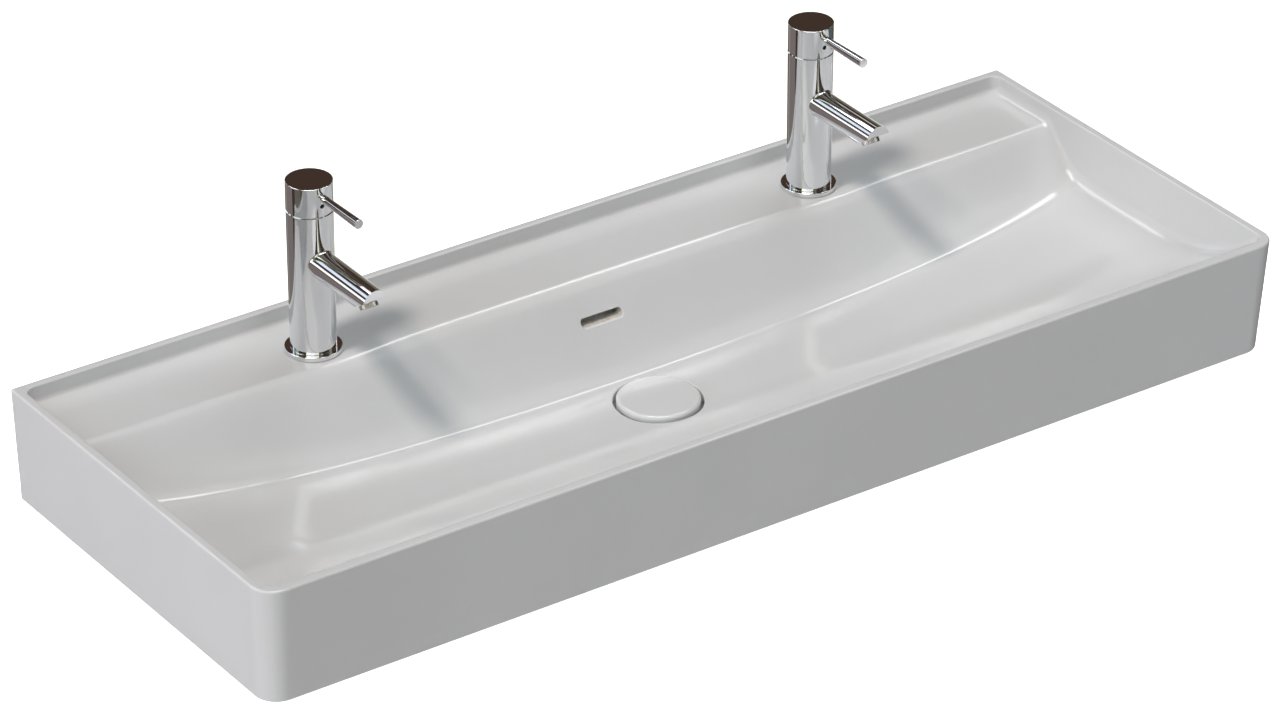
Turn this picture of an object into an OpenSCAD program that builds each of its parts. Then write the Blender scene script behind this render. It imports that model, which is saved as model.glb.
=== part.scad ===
/* [Basin] */
// Width of the basin across the rim
basin_w = 1200; // [1000:10:1400]
// Depth of the basin from the wall to the front rim
basin_d = 465; // [440:5:520]
// Height of the basin from its underside to the rim
basin_h = 125; // [115:1:160]
// Height of the wall bolts above the underside
bolt_h = 60; // [50:1:70]
// Width of the flat rim
rim_w = 9.5; // [8:0.5:14]
// How far the front wall leans in from rim to underside
front_draft = 7; // [2:0.5:10]
// How far each side wall leans in from rim to underside
side_draft = 5; // [2:0.5:10]
// Radius of the front corners in plan
front_r = 24.5; // [16:0.5:40]
// Radius of the rear corners in plan
rear_r = 2.5; // [1:0.5:6]
// Rounding of the outer rim edge
rim_edge_r = 2.2; // [1:0.1:3]
// Thickness of the fired clay
clay_t = 11; // [9:0.5:13]
// Thickness of the outer skirt below the rim
skirt_t = 12; // [9:0.5:14]

/* [Bowl] */
// Drop from the rim to the tap ledge
ledge_drop = 18.5; // [12:0.5:30]
// Depth of the tap ledge from the wall to its front corner
ledge_d = 98; // [94:1:110]
// How far the ledge swells forward in front of each tap
ledge_swell = 6; // [0:0.5:9]
// Half width of that swelling
swell_w = 60; // [40:1:90]
// Drop from the rim to the floor at the drain
floor_drop = 99; // [92:0.5:100]
// Rise of the floor from the drain to each end
floor_rise = 33; // [15:1:45]
// Distance from the wall to the foot of the rear slope
foot_d = 180; // [170:1:190]
// How much nearer the wall the foot runs at each end
foot_flare = 30; // [0:1:40]
// Sharpness of the fillet along the foot of the slope
foot_soft = 4; // [2:0.5:8]
// Added softness of that fillet at each end
foot_soft_end = 14; // [0:1:20]
// Sharpness of the fillet along the front of the ledge
crest_soft = 4.5; // [2:0.5:8]
// Radius of the long sweep from the floor up to the front rim
sweep_r = 245; // [200:5:280]
// Distance from the front of the basin to the line where the sweep meets the rim
sweep_lip = 11; // [10:0.5:14]
// Radius between the floor and each end wall
end_r = 12; // [8:0.5:16]
// Radius between the ledge and the rear wall
ledge_r = 8; // [4:0.5:10]
// Inner corner radius at the rear
inner_rear_r = 11; // [8:0.5:18]
// Inner corner radius at the front
inner_front_r = 16; // [10:0.5:22]

/* [Drain] */
// Distance of the drain from the wall
drain_d = 232.5; // [228:0.5:240]
// Diameter of the recess that takes the cover
recess_dia = 91; // [89:0.5:96]
// Thickness of clay below the recess
recess_floor_t = 16; // [14:0.5:18]
// Diameter of the drain hole
drain_dia = 47; // [46:0.5:48]
// Diameter of the boss round the drain
drain_boss_dia = 118; // [112:1:130]

/* [Overflow] */
// Width of the overflow slot
slot_w = 50; // [40:1:56]
// Height of the overflow slot
slot_h = 8; // [6:0.5:10]
// Height of the slot above the underside
slot_z = 74; // [68:1:80]
// Width of the duct behind the slot
duct_w = 54; // [50:1:64]
// Clear depth of the duct
duct_gap = 14; // [10:0.5:16]
// Wall between the slope and the duct
duct_skin = 10; // [8:0.5:12]
// Wall round the duct
duct_wall = 10; // [8:0.5:12]
// Height of the duct where it meets the drain hole
duct_h = 7; // [5:0.5:8]
// Clay below the duct
duct_floor_t = 4.5; // [4:0.5:6]

/* [Wall bolts] */
// Distance between the two wall bolts
bolt_spacing = 840; // [760:10:900]
// Diameter of the wall bolt holes
bolt_hole_dia = 14; // [12:0.5:16]
// Diameter of the boss round each wall bolt
bolt_boss_dia = 44; // [36:1:50]
// Depth of that boss behind the rear wall
bolt_boss_t = 8; // [4:0.5:12]

/* [Taps] */
// Distance from the middle of the basin to each tap
tap_x = 300.4; // [240:0.1:360]
// Distance of the taps from the wall
tap_d = 71.5; // [68:0.5:74]
// Diameter of the tap holes
tap_hole_dia = 35; // [34:0.5:36]
// Diameter of the flat seat under each tap hole
tap_seat_dia = 46; // [45:0.5:48]
// Diameter of the base ring
ring_dia = 57.6; // [54:0.1:60]
// Height of the base ring above the ledge
ring_h = 5; // [3:0.1:7]
// Diameter of the column at its foot
column_foot_dia = 46.4; // [44:0.1:48]
// Diameter of the column at the cap
column_dia = 47.2; // [44:0.1:48]
// Height of the joint between column and cap above the ledge
joint_h = 156.8; // [140:0.1:180]
// Height of the cap
cap_h = 31; // [26:0.5:36]
// Gap between the cap and the column
cap_gap = 0.4; // [0.3:0.1:1]
// Chamfer of the column's upper edge
column_chamfer = 0.8; // [0.4:0.1:1.5]
// Rounding of the cap's upper edge
cap_edge = 0.5; // [0.3:0.1:1.5]

/* [Spout] */
// Height of the spout's axis above the ledge
spout_h = 103; // [90:0.5:110]
// Reach of the spout from the column's axis
spout_reach = 116.5; // [100:0.5:130]
// Diameter of the spout at the column
spout_root_dia = 29.6; // [26:0.1:34]
// Diameter of the spout at its end
spout_tip_dia = 28.4; // [26:0.1:34]
// Height of the slanted cut above the spout's axis at its tip
spout_cut_h = 4.1; // [2:0.1:6]
// Slant of that cut from level
spout_cut_a = 33; // [28:0.5:34]
// Diameter of the waterway in the spout
waterway_dia = 12; // [8:0.5:14]
// Diameter of the aerator
aerator_dia = 19; // [17:0.1:20]
// How far the aerator stands out of the cut
aerator_out = 4; // [2:0.1:5]
// Distance of the aerator from the upper end of the cut
aerator_s = 17; // [15:0.1:19]
// Depth of the aerator's socket
aerator_depth = 7; // [5:0.5:9]

/* [Lever] */
// Height of the lever above the joint
lever_h = 21; // [19:0.1:23]
// Distance from the column's axis to the lever's end
lever_reach = 88.5; // [70:0.5:110]
// Diameter of the lever at the cap
lever_root_dia = 6.8; // [6:0.1:8]
// Diameter of the lever at its end
lever_tip_dia = 9.8; // [8:0.1:11]
// Diameter of the lever's neck
lever_neck_dia = 5; // [4:0.1:6]
// Height of the set screw above the joint
screw_h = 11.4; // [11:0.1:12]
// Diameter of the set screw
screw_dia = 4.8; // [4:0.1:5]
// Distance of the lift pin behind the column's axis
lift_back = 10; // [9:0.5:11]
// Slant of the relief under the back of the cap
lift_relief_a = 22; // [20:0.5:24]

/* [Cover] */
// Diameter of the drain cover
cover_dia = 85; // [80:0.5:86]
// Thickness of the drain cover
cover_t = 8; // [7:0.5:9]
// Height of the raised cover above the floor
cover_up = 5; // [4.5:0.1:5.5]
// Rounding of the cover's edge
cover_edge_r = 4; // [2:0.5:5]
// Outer diameter of the waste's thread
waste_dia = 41.8; // [40:0.1:42]
// Bore of the waste
waste_bore = 36; // [34:0.5:37]
// How far the waste reaches below the underside
waste_len = 75; // [60:1:90]

/* [Hidden] */

// One overrun serves every cut, and one small gap every loose fit
over = 3;
slip = 0.1;
run_gap = 0.05;
smooth = 96;
small = 48;
coarse = 24;
fine = 16;
hex = 6;
flute = 8;

// Levels and lines of the basin
rim_z = basin_h - bolt_h;
under_z = -bolt_h;
ledge_z = rim_z - ledge_drop;
drain_z = rim_z - floor_drop;
half_in = basin_w / 2 - rim_w;
front_in = basin_d - rim_w;
recess_z = under_z + recess_floor_t;

// Stations across the bowl: an even run, then closer steps round each end fillet
mid_steps = 26;
end_shares = [0.17, 0.37, 0.58, 0.78, 0.93, 1];
mid_half = half_in - max(end_r, inner_front_r);
end_run = half_in - mid_half;
mid_x = [for (i = [0:mid_steps]) mid_half * (2 * i / mid_steps - 1)];
bowl_x = concat([for (k = [len(end_shares) - 1:-1:0]) -mid_half - end_run * end_shares[k]],
    mid_x, [for (s = end_shares) mid_half + end_run * s]);

// Height of the floor at x, falling from each end to the drain
function floor_z(x) = drain_z + floor_rise * pow(x / half_in, 2);
// Distance from the wall to the line where the front sweep starts
function sweep_d(x) = basin_d - sweep_lip
    - sqrt(2 * sweep_r * (rim_z - floor_z(x)) - pow(rim_z - floor_z(x), 2));
// Distance from the wall to the foot of the rear slope
function foot_at(x) = foot_d - foot_flare * pow(abs(x) / half_in, 6);
// Distance from the wall to the front corner of the ledge, with its swelling at each tap
function crest_at(x) = ledge_d + ledge_swell * exp(-pow((abs(x) - tap_x) / swell_w, 2));
// Softened larger and smaller of two heights
function soft_max(a, b, k) = (a + b + sqrt(pow(a - b, 2) + k * k)) / 2;
function soft_min(a, b, k) = (a + b - sqrt(pow(a - b, 2) + k * k)) / 2;
// Straight rear slope between foot and ledge, at distance d from the wall
function slope_z(x, d) = floor_z(x) + (foot_at(x) - d) * (ledge_z - floor_z(x)) / (foot_at(x) - crest_at(x));
// Floor with the sweep up to the front rim
function sweep_z(x, d) = d <= sweep_d(x) ? floor_z(x)
    : floor_z(x) + sweep_r - sqrt(max(0, sweep_r * sweep_r - pow(d - sweep_d(x), 2)));
// Softness of the foot at x
function foot_k(x) = foot_soft + foot_soft_end * pow(abs(x) / half_in, 4);
// The open surface of the bowl, without the fillets at its walls
function bowl_z(x, d) = soft_max(sweep_z(x, d), soft_min(slope_z(x, d), ledge_z, crest_soft), foot_k(x));
// Rise of a fillet of radius r at a distance e from the wall that it meets
function fillet(r, e) = e >= r ? 0 : r - sqrt(max(0, r * r - pow(r - e, 2)));
// How far a plan corner of radius r holds back its edge at x
function corner_in(r, x) = fillet(r, half_in - abs(x));

// Distances from the wall at which each station is measured, from the front rim to the rear wall
front_steps = 10;
crease_shares = [-1, -0.5, -0.2, 0, 0.2, 0.5, 1];
back_share = 0.8;
foot_span = 18;
crest_span = 16;
rear_fillet_steps = 4;
function station_d(x) =
    let (d_front = front_in - corner_in(inner_front_r, x),
        d_rear = rim_w + corner_in(inner_rear_r, x),
        d_sweep = max(sweep_d(x), foot_at(x) + foot_span + over))
    concat([for (i = [0:front_steps]) d_front + (d_sweep - d_front) * i / front_steps],
        [for (s = crease_shares) foot_at(x) - foot_span * s * (s < 0 ? 1 : back_share)],
        [for (s = crease_shares) crest_at(x) - crest_span * s],
        [for (i = [0:rear_fillet_steps]) d_rear + ledge_r * cos(90 * i / rear_fillet_steps)]
    );
function station_z(x, d) = bowl_z(x, d)
    + fillet(end_r, half_in - abs(x))
    + fillet(ledge_r, d - rim_w - corner_in(inner_rear_r, x));
top_z = rim_z + end_r + ledge_r + over;
function station(x) = let (ds = station_d(x), n = len(ds))
    concat([for (i = [0:n - 1]) [x, -ds[i], station_z(x, ds[i])]],
        [[x, -ds[n - 1], top_z]], [[x, -ds[0], top_z]]);

// Skin of a loft through stations of equal length
module loft(stations) {
    n = len(stations);
    m = len(stations[0]);
    points = [for (s = stations) each s];
    sides = [for (i = [0:n - 2]) for (j = [0:m - 1]) let (k = (j + 1) % m)
        each [[i * m + j, (i + 1) * m + k, i * m + k], [i * m + j, (i + 1) * m + j, (i + 1) * m + k]]];
    polyhedron(points, concat(sides, [[for (j = [0:m - 1]) j]], [[for (j = [m - 1:-1:0]) (n - 1) * m + j]]));
}

// Outer body: drafted walls, round front corners and a softened rim edge
module basin_outside() {
    side = basin_w / 2;
    foot_side = side - side_draft;
    hull() for (s = [-1, 1]) {
        translate([s * (side - front_r), -(basin_d - front_r), rim_z - rim_edge_r])
            rotate_extrude($fn = smooth)
                translate([front_r - rim_edge_r, 0]) circle(r = rim_edge_r, $fn = fine);
        translate([s * (side - rear_r), -rear_r, rim_z - rim_edge_r]) sphere(r = rim_edge_r, $fn = coarse);
        translate([s * (side - rear_r), -rear_r, rim_z - 2 * rim_edge_r])
            cylinder(r = rear_r, h = rim_edge_r, $fn = coarse);
        translate([s * (foot_side - front_r), -(basin_d - front_draft - front_r), under_z])
            cylinder(r = front_r, h = slip, $fn = smooth);
        translate([s * (foot_side - rear_r), -rear_r, under_z]) cylinder(r = rear_r, h = slip, $fn = coarse);
    }
}

// Hollow below the bowl: the bowl's own surface, one clay thickness lower and kept clear of its slopes
skirt_x = basin_w / 2 - side_draft - skirt_t;
skirt_front = basin_d - front_draft - skirt_t;
hollow_steps = 18;
hollow_shares = [0, 0.1, 0.22, 0.36, 0.5];
slope_shift = 6;
function hollow_z(x, d) = min(bowl_z(x, d - slope_shift), bowl_z(x, d), bowl_z(x, d + slope_shift)) - clay_t;
function hollow_d(x) = concat([for (s = hollow_shares) skirt_front + (sweep_d(x) - skirt_front) * 2 * s],
    [foot_at(x), foot_at(x) - slope_shift, (foot_at(x) + crest_at(x)) / 2 - slope_shift,
        crest_at(x), crest_at(x) - slope_shift, crest_at(x) - slope_shift - crest_soft, skirt_t]);
// The last station at each end lies below the underside, so that the end wall leans as the mould leaves it
skirt_lean = 6;
lean_x = skirt_x - skirt_lean;
low_share = 0.01;
function hollow_station(x, foot, share) = let (ds = hollow_d(x), n = len(ds))
    concat([[x, -ds[0], under_z - over]], [[x, -ds[n - 1], under_z - over]],
        [for (i = [n - 1:-1:0]) [x, -ds[i], foot + (hollow_z(x, ds[i]) - foot) * share]]);
module basin_hollow() {
    loft(concat([hollow_station(-skirt_x, under_z - over / 2, low_share)],
        [for (i = [0:hollow_steps]) hollow_station(lean_x * (2 * i / hollow_steps - 1), under_z, 1)],
        [hollow_station(skirt_x, under_z - over / 2, low_share)]));
}

// Overflow duct behind the rear slope, from the slot down to the drain hole
slot_rise = slot_z - bolt_h;
slope_run = (foot_d - ledge_d) / (ledge_z - drain_z);
function slope_d(z) = foot_d - (z - drain_z) * slope_run;
duct_top = slot_rise + slot_h;
duct_foot = under_z + duct_floor_t;
module across(width) {
    rotate([90, 0, -90]) translate([0, 0, -width / 2]) linear_extrude(width) children();
}
module duct_outline(inner, outer, top, foot, roof, mouth) {
    polygon([[mouth, foot], [slope_d(foot) - outer, foot], [slope_d(top) - outer, top],
        [slope_d(top) - inner, top], [slope_d(roof) - inner, roof], [mouth, roof]]);
}
module duct_block() {
    color("white") across(duct_w + 2 * duct_wall)
        duct_outline(slope_shift / 2, duct_skin + duct_gap + duct_wall, duct_top + duct_wall, under_z,
            drain_z - clay_t / 2, drain_d);
}
module duct_way() {
    across(duct_w) duct_outline(duct_skin, duct_skin + duct_gap, duct_top, duct_foot,
        duct_foot + duct_h, drain_d - drain_dia / 2 + over);
}
module slot_way() {
    length = slope_d(slot_rise - slot_h) - slope_d(slot_rise) + duct_skin + duct_gap / 2 + over;
    translate([0, -(slope_d(slot_rise - slot_h) + over), slot_rise]) rotate([-90, 0, 0])
        linear_extrude(length) {
            square([slot_w - slot_h, slot_h], center = true);
            for (s = [-1, 1]) translate([s * (slot_w - slot_h) / 2, 0]) circle(d = slot_h, $fn = small);
        }
}

// Glazed fireclay basin: one casting with bowl, ledge, holes and overflow
module basin() color("whitesmoke") difference() {
    basin_outside();
    loft([for (x = bowl_x) station(x)]);
    difference() {
        basin_hollow();
        translate([0, -drain_d, under_z]) cylinder(d = drain_boss_dia, h = basin_h, $fn = smooth);
        duct_block();
        for (s = [-1, 1]) translate([s * bolt_spacing / 2, over, 0]) rotate([90, 0, 0])
            cylinder(d = bolt_boss_dia, h = skirt_t + bolt_boss_t + over, $fn = smooth);
    }
    translate([0, -drain_d, recess_z]) cylinder(d = recess_dia, h = basin_h, $fn = smooth);
    translate([0, -drain_d, under_z - over]) cylinder(d = drain_dia, h = basin_h, $fn = smooth);
    duct_way();
    slot_way();
    for (s = [-1, 1]) {
        translate([s * bolt_spacing / 2, over, 0]) rotate([90, 0, 0])
            cylinder(d = bolt_hole_dia, h = skirt_t + bolt_boss_t + 2 * over, $fn = smooth);
        translate([s * tap_x, -tap_d, under_z]) {
            cylinder(d = tap_hole_dia, h = basin_h, $fn = smooth);
            cylinder(d = tap_seat_dia, h = ledge_z - clay_t - under_z, $fn = smooth);
        }
    }
}

// Tap values, measured from the ledge and the column's axis
seal_t = 2;
seal_in = 3;
seal_dia = ring_dia - 2 * seal_in;
seal_groove = 1.4;
shank_gap = 0.6;
shank_dia = tap_hole_dia - 2 * shank_gap;
shank_h = 9;
bore_dia = 36;
bore_depth = 46;
inlet_dia = 9;
inlet_x = 9.5;
inlet_y = -5;
inlet_len = 14;
stud_dia = 8;
stud_y = 10;
stud_in = 12;
stud_out = 46;
way_z = joint_h - bore_depth;

module at_tap(side) {
    translate([side * tap_x, -tap_d, ledge_z]) children();
}
module ring(outer, inner, h, fn = smooth) {
    difference() {
        cylinder(d = outer, h = h, $fn = fn);
        translate([0, 0, -over]) cylinder(d = inner, h = h + 2 * over, $fn = smooth);
    }
}

// Rubber seal let into the base ring
module base_seal(side) color("dimgray") at_tap(side)
    ring(seal_dia, shank_dia + 2 * slip, seal_t);

// Chromed base ring
module base_ring(side) color("silver") at_tap(side) difference() {
    translate([0, 0, seal_t - seal_groove]) rotate_extrude($fn = smooth) polygon([
        [shank_dia / 2 + slip, 0], [ring_dia / 2, 0], [ring_dia / 2, ring_h - seal_t + seal_groove - cap_edge],
        [ring_dia / 2 - cap_edge, ring_h - seal_t + seal_groove], [shank_dia / 2 + slip,
            ring_h - seal_t + seal_groove]]);
    translate([0, 0, -over]) cylinder(d = seal_dia, h = seal_t + over, $fn = smooth);
}

// Slanted frame of the cut under the spout's end, with Z out of the cut
module at_cut() {
    translate([0, -spout_reach, spout_h + spout_cut_h]) rotate([180 - spout_cut_a, 0, 0]) children();
}
// Mixer body: column and spout in one chromed brass casting
module mixer_body(side) color("silver") at_tap(side) difference() {
    union() {
        rotate_extrude($fn = smooth) polygon([[0, -shank_h], [shank_dia / 2, -shank_h], [shank_dia / 2, ring_h],
            [column_foot_dia / 2, ring_h], [column_dia / 2, joint_h - column_chamfer],
            [column_dia / 2 - column_chamfer, joint_h], [0, joint_h]]);
        difference() {
            translate([0, 0, spout_h]) rotate([90, 0, 0])
                cylinder(d1 = spout_root_dia, d2 = spout_tip_dia, h = spout_reach, $fn = smooth);
            at_cut() translate([-spout_root_dia, -spout_root_dia * 3, 0])
                cube([2 * spout_root_dia, 6 * spout_root_dia, 2 * spout_root_dia]);
        }
    }
    translate([0, 0, way_z]) cylinder(d = bore_dia, h = bore_depth + over, $fn = smooth);
    translate([0, 0, spout_h]) rotate([90, 0, 0])
        cylinder(d = waterway_dia, h = spout_reach - aerator_s, $fn = small);
    translate([0, 0, spout_h - waterway_dia / 2]) cylinder(d = waterway_dia, h = bore_depth, $fn = small);
    at_cut() translate([0, -aerator_s, -aerator_depth])
        cylinder(d = aerator_dia, h = aerator_depth + over, $fn = smooth);
    for (s = [-1, 1]) translate([s * inlet_x, inlet_y, -shank_h - over]) {
        cylinder(d = inlet_dia, h = inlet_len + over, $fn = small);
        cylinder(d = port_dia, h = way_z + shank_h + 2 * over, $fn = small);
    }
    translate([0, stud_y, -shank_h - over]) cylinder(d = stud_dia, h = stud_in + over, $fn = small);
}

// Aerator: knurled ring screwed into the cut, with a fine insert
knurl_n = 40;
knurl_d = 0.5;
lip_t = 1.6;
module aerator_ring(side) color("silver") at_tap(side) at_cut() translate([0, -aerator_s, -aerator_depth])
    difference() {
        cylinder(d = aerator_dia - 2 * run_gap, h = aerator_depth + aerator_out, $fn = smooth);
        translate([0, 0, -over]) cylinder(d = aerator_dia - 2 * lip_t,
            h = aerator_depth + aerator_out + 2 * over, $fn = smooth);
        for (i = [0:knurl_n - 1]) rotate([0, 0, 360 * i / knurl_n])
            translate([aerator_dia / 2, 0, aerator_depth + knurl_d])
                cylinder(d = 2 * knurl_d, h = aerator_out, $fn = flute);
    }
jet_n = 12;
jet_dia = 2;
jet_shares = [0.42, 0.76];
jet_size_shares = [0.7, 1];
module aerator_insert(side) color("gainsboro") at_tap(side) at_cut()
    translate([0, -aerator_s, -aerator_depth]) difference() {
        cylinder(d = aerator_dia - 2 * lip_t - 2 * run_gap, h = aerator_depth + aerator_out - lip_t,
            $fn = smooth);
        for (k = [0, 1]) for (i = [0:jet_n - 1]) rotate([0, 0, 360 * i / jet_n])
            translate([jet_shares[k] * (aerator_dia / 2 - lip_t - jet_dia / 2), 0, -over])
                cylinder(d = jet_dia * jet_size_shares[k], h = aerator_depth + aerator_out + 2 * over,
                    $fn = fine);
    }

// Cartridge: housing, screw nut and the turret that turns in its mouth
mouth_dia = 25;
turret_top = 5;
turret_t = 7;
nut_t = 5;
nut_top = 1;
housing_top = nut_top + nut_t;
ear_t = 3;
arm_w = 8;
arm_t = 6;
arm_back = 3;
arm_front = 4;
pin_dia = 3;
post_dia = 8;
post_top = 17;
cavity_h = 8;
cavity_dia = 39;
port_dia = 5;

module at_joint(side) {
    at_tap(side) translate([0, 0, joint_h]) children();
}
// Ceramic disc cartridge housing
module cartridge(side) color("beige") at_joint(side) difference() {
    translate([0, 0, -bore_depth]) cylinder(d = bore_dia - 2 * slip, h = bore_depth - housing_top,
        $fn = smooth);
    translate([0, 0, -turret_top - turret_t]) cylinder(d = mouth_dia, h = turret_t + over, $fn = smooth);
    for (s = [-1, 1]) translate([s * inlet_x, inlet_y, -bore_depth - over])
        cylinder(d = port_dia, h = bore_depth / 2 + over, $fn = small);
    translate([0, 0, -bore_depth - over]) cylinder(d = port_dia, h = bore_depth / 2 + over, $fn = small);
}
// Slotted nut that holds the cartridge down
notch_n = 6;
notch_w = 4;
notch_t = 2.5;
notch_wall = 1.4;
ear_reach = norm([arm_w / 2 + slip + ear_t, lift_back + arm_t / 2]);
nut_bore = 2 * (ear_reach + 2 * slip);
module cartridge_nut(side) color("goldenrod") at_joint(side) difference() {
    translate([0, 0, -housing_top]) ring(bore_dia - 2 * slip, nut_bore, nut_t);
    for (i = [0:notch_n - 1]) rotate([0, 0, 360 * i / notch_n]) translate([nut_bore / 2 - over,
        -notch_w / 2, -nut_top - notch_t])
        cube([(bore_dia - nut_bore) / 2 - slip - notch_wall + over, notch_w, notch_t + over]);
}
// Turret with two ears that carry the lift pin
module turret(side) color("white") at_joint(side) difference() {
    union() {
        translate([0, 0, -turret_top - turret_t + slip])
            cylinder(d = mouth_dia - 4 * run_gap, h = turret_t - slip, $fn = smooth);
        for (s = [-1, 1]) translate([s * (arm_w / 2 + slip + ear_t / 2) - ear_t / 2, lift_back, 0]) {
            translate([0, -arm_t / 2, -turret_top - slip]) cube([ear_t, arm_t, turret_top + slip]);
            rotate([0, 90, 0]) cylinder(d = arm_t, h = ear_t, $fn = small);
        }
    }
    translate([-mouth_dia / 2, lift_back, 0]) rotate([0, 90, 0]) cylinder(d = pin_dia, h = mouth_dia,
        $fn = small);
}
// Lift pin pressed through the ears
module lift_pin(side) color("silver") at_joint(side)
    translate([-(arm_w / 2 + slip + ear_t), lift_back, 0]) rotate([0, 90, 0])
        cylinder(d = pin_dia, h = arm_w + 2 * slip + 2 * ear_t, $fn = small);
// Stem: arm on the lift pin, with the post that the cap sits on
module stem(side) color("silver") at_joint(side) difference() {
    union() {
        translate([-arm_w / 2, -arm_front, -arm_t / 2]) cube([arm_w, lift_back + arm_front, arm_t]);
        translate([-arm_w / 2, lift_back, 0]) rotate([0, 90, 0]) cylinder(d = arm_t, h = arm_w, $fn = small);
        cylinder(d = post_dia, h = post_top, $fn = small);
    }
    translate([-arm_w, lift_back, 0]) rotate([0, 90, 0])
        cylinder(d = pin_dia + 2 * run_gap, h = 2 * arm_w, $fn = small);
}

// Handle cap with a relief under its back, so that it can tip on the lift pin
module handle_cap(side) color("silver") at_joint(side) difference() {
    rotate_extrude($fn = smooth) polygon([[0, cap_gap], [column_dia / 2, cap_gap],
        [column_dia / 2, cap_h - cap_edge], [column_dia / 2 - cap_edge, cap_h], [0, cap_h]]);
    cylinder(d = cavity_dia, h = cavity_h, $fn = smooth);
    cylinder(d = post_dia + 2 * slip, h = post_top + slip, $fn = small);
    translate([-column_dia, lift_back, cap_gap]) rotate([lift_relief_a, 0, 0])
        translate([0, 0, -column_dia]) cube([2 * column_dia, column_dia, column_dia]);
    translate([0, -lever_in, lever_h]) rotate([90, 0, 0])
        cylinder(d = lever_neck_dia, h = column_dia, $fn = small);
    translate([0, 0, screw_h]) rotate([90, 0, 0]) cylinder(d = screw_dia, h = column_dia, $fn = small);
}
// Pin lever with a turned neck, flaring to a flat end
lever_in = 12;
lever_neck = 1.2;
lever_break = 0.5;
module lever(side) color("silver") at_joint(side) translate([0, 0, lever_h]) rotate([90, 0, 0])
    rotate_extrude($fn = small) polygon([[0, lever_in + slip], [lever_neck_dia / 2, lever_in + slip],
        [lever_neck_dia / 2, column_dia / 2 + lever_neck], [lever_root_dia / 2, column_dia / 2 + 2 * lever_neck],
        [lever_tip_dia / 2, lever_reach - lever_break], [lever_tip_dia / 2 - lever_break, lever_reach],
        [0, lever_reach]]);
// Set screw below the lever, with a hexagon socket
screw_sink = 0.3;
screw_len = (column_dia - post_dia) / 2 - screw_sink - slip;
socket_dia = 2.6;
socket_depth = 4;
module set_screw(side) color("black") at_joint(side)
    translate([0, -column_dia / 2 + screw_sink, screw_h]) rotate([-90, 0, 0]) difference() {
        cylinder(d = screw_dia, h = screw_len, $fn = small);
        translate([0, 0, -over]) cylinder(d = socket_dia, h = socket_depth + over, $fn = hex);
    }

// Fixings below the ledge, one of each under each tap
rubber_t = 2;
washer_t = 2.5;
clamp_gap = 1;
clamp_dia = tap_seat_dia - 2 * clamp_gap;
clamp_slot = 2 * inlet_x + inlet_dia + clamp_gap;
nut_af = 13;
nut_h = 6.5;
clamp_z = -clay_t;
module each_tap() {
    for (side = [-1, 1]) at_tap(side) children();
}
module horseshoe(t) {
    difference() {
        cylinder(d = clamp_dia, h = t, $fn = smooth);
        translate([-clamp_slot / 2, -clamp_dia, -over])
            cube([clamp_slot, clamp_dia + inlet_y + inlet_dia / 2, t + 2 * over]);
        translate([0, stud_y, -over]) cylinder(d = stud_dia + 2 * slip, h = t + 2 * over, $fn = small);
    }
}
module mounting_studs() color("silver") each_tap() translate([0, stud_y, -stud_out])
    cylinder(d = stud_dia, h = stud_out - shank_h + stud_in - slip, $fn = small);
module clamp_rubbers() color("dimgray") each_tap() translate([0, 0, clamp_z - rubber_t]) horseshoe(rubber_t);
module clamp_washers() color("silver") each_tap()
    translate([0, 0, clamp_z - rubber_t - washer_t]) horseshoe(washer_t);
module stud_nuts() color("goldenrod") each_tap()
    translate([0, stud_y, clamp_z - rubber_t - washer_t - nut_h]) difference() {
        cylinder(d = nut_af / cos(30), h = nut_h, $fn = hex);
        translate([0, 0, -over]) cylinder(d = stud_dia, h = nut_h + 2 * over, $fn = small);
    }

// Waste fitting below the cover
gasket_t = 1.2;
gasket_dia = 60;
flange_dia = 66;
flange_t = 1.8;
flange_z = recess_z + gasket_t;
flange_top = flange_z + flange_t;
window_n = 4;
window_w = 13;
click_dia = 14;
click_len = 34;
click_top = 22;
web_t = 3;
web_h = 8;
bottom_gasket_t = 4;
bottom_gasket_dia = 62;
waste_nut_dia = 60;
waste_nut_h = 9;
waste_nut_flats = 8;
outlet_len = 48;
undercut = 0.8;
undercut_h = 3;
rod_dia = 6;
module at_drain() {
    translate([0, -drain_d, 0]) children();
}
module waste_top_gasket() color("dimgray") at_drain() translate([0, 0, recess_z])
    ring(gasket_dia, waste_dia + 2 * slip, gasket_t);
// Flanged tube with overflow windows level with the duct
module waste_flange() color("silver") at_drain() difference() {
    union() {
        translate([0, 0, flange_z]) cylinder(d = flange_dia, h = flange_t, $fn = smooth);
        translate([0, 0, under_z - waste_len]) cylinder(d = waste_dia, h = flange_z - under_z + waste_len,
            $fn = smooth);
    }
    translate([0, 0, under_z - waste_len - over])
        cylinder(d = waste_bore, h = flange_top - under_z + waste_len + 2 * over, $fn = smooth);
    translate([0, 0, under_z - waste_len + outlet_len])
        ring(waste_dia + 2 * over, waste_dia - 2 * undercut, undercut_h);
    for (i = [0:window_n - 1]) rotate([0, 0, 45 + 360 * i / window_n])
        translate([0, -window_w / 2, duct_foot]) cube([waste_dia, window_w, duct_h]);
}
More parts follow.
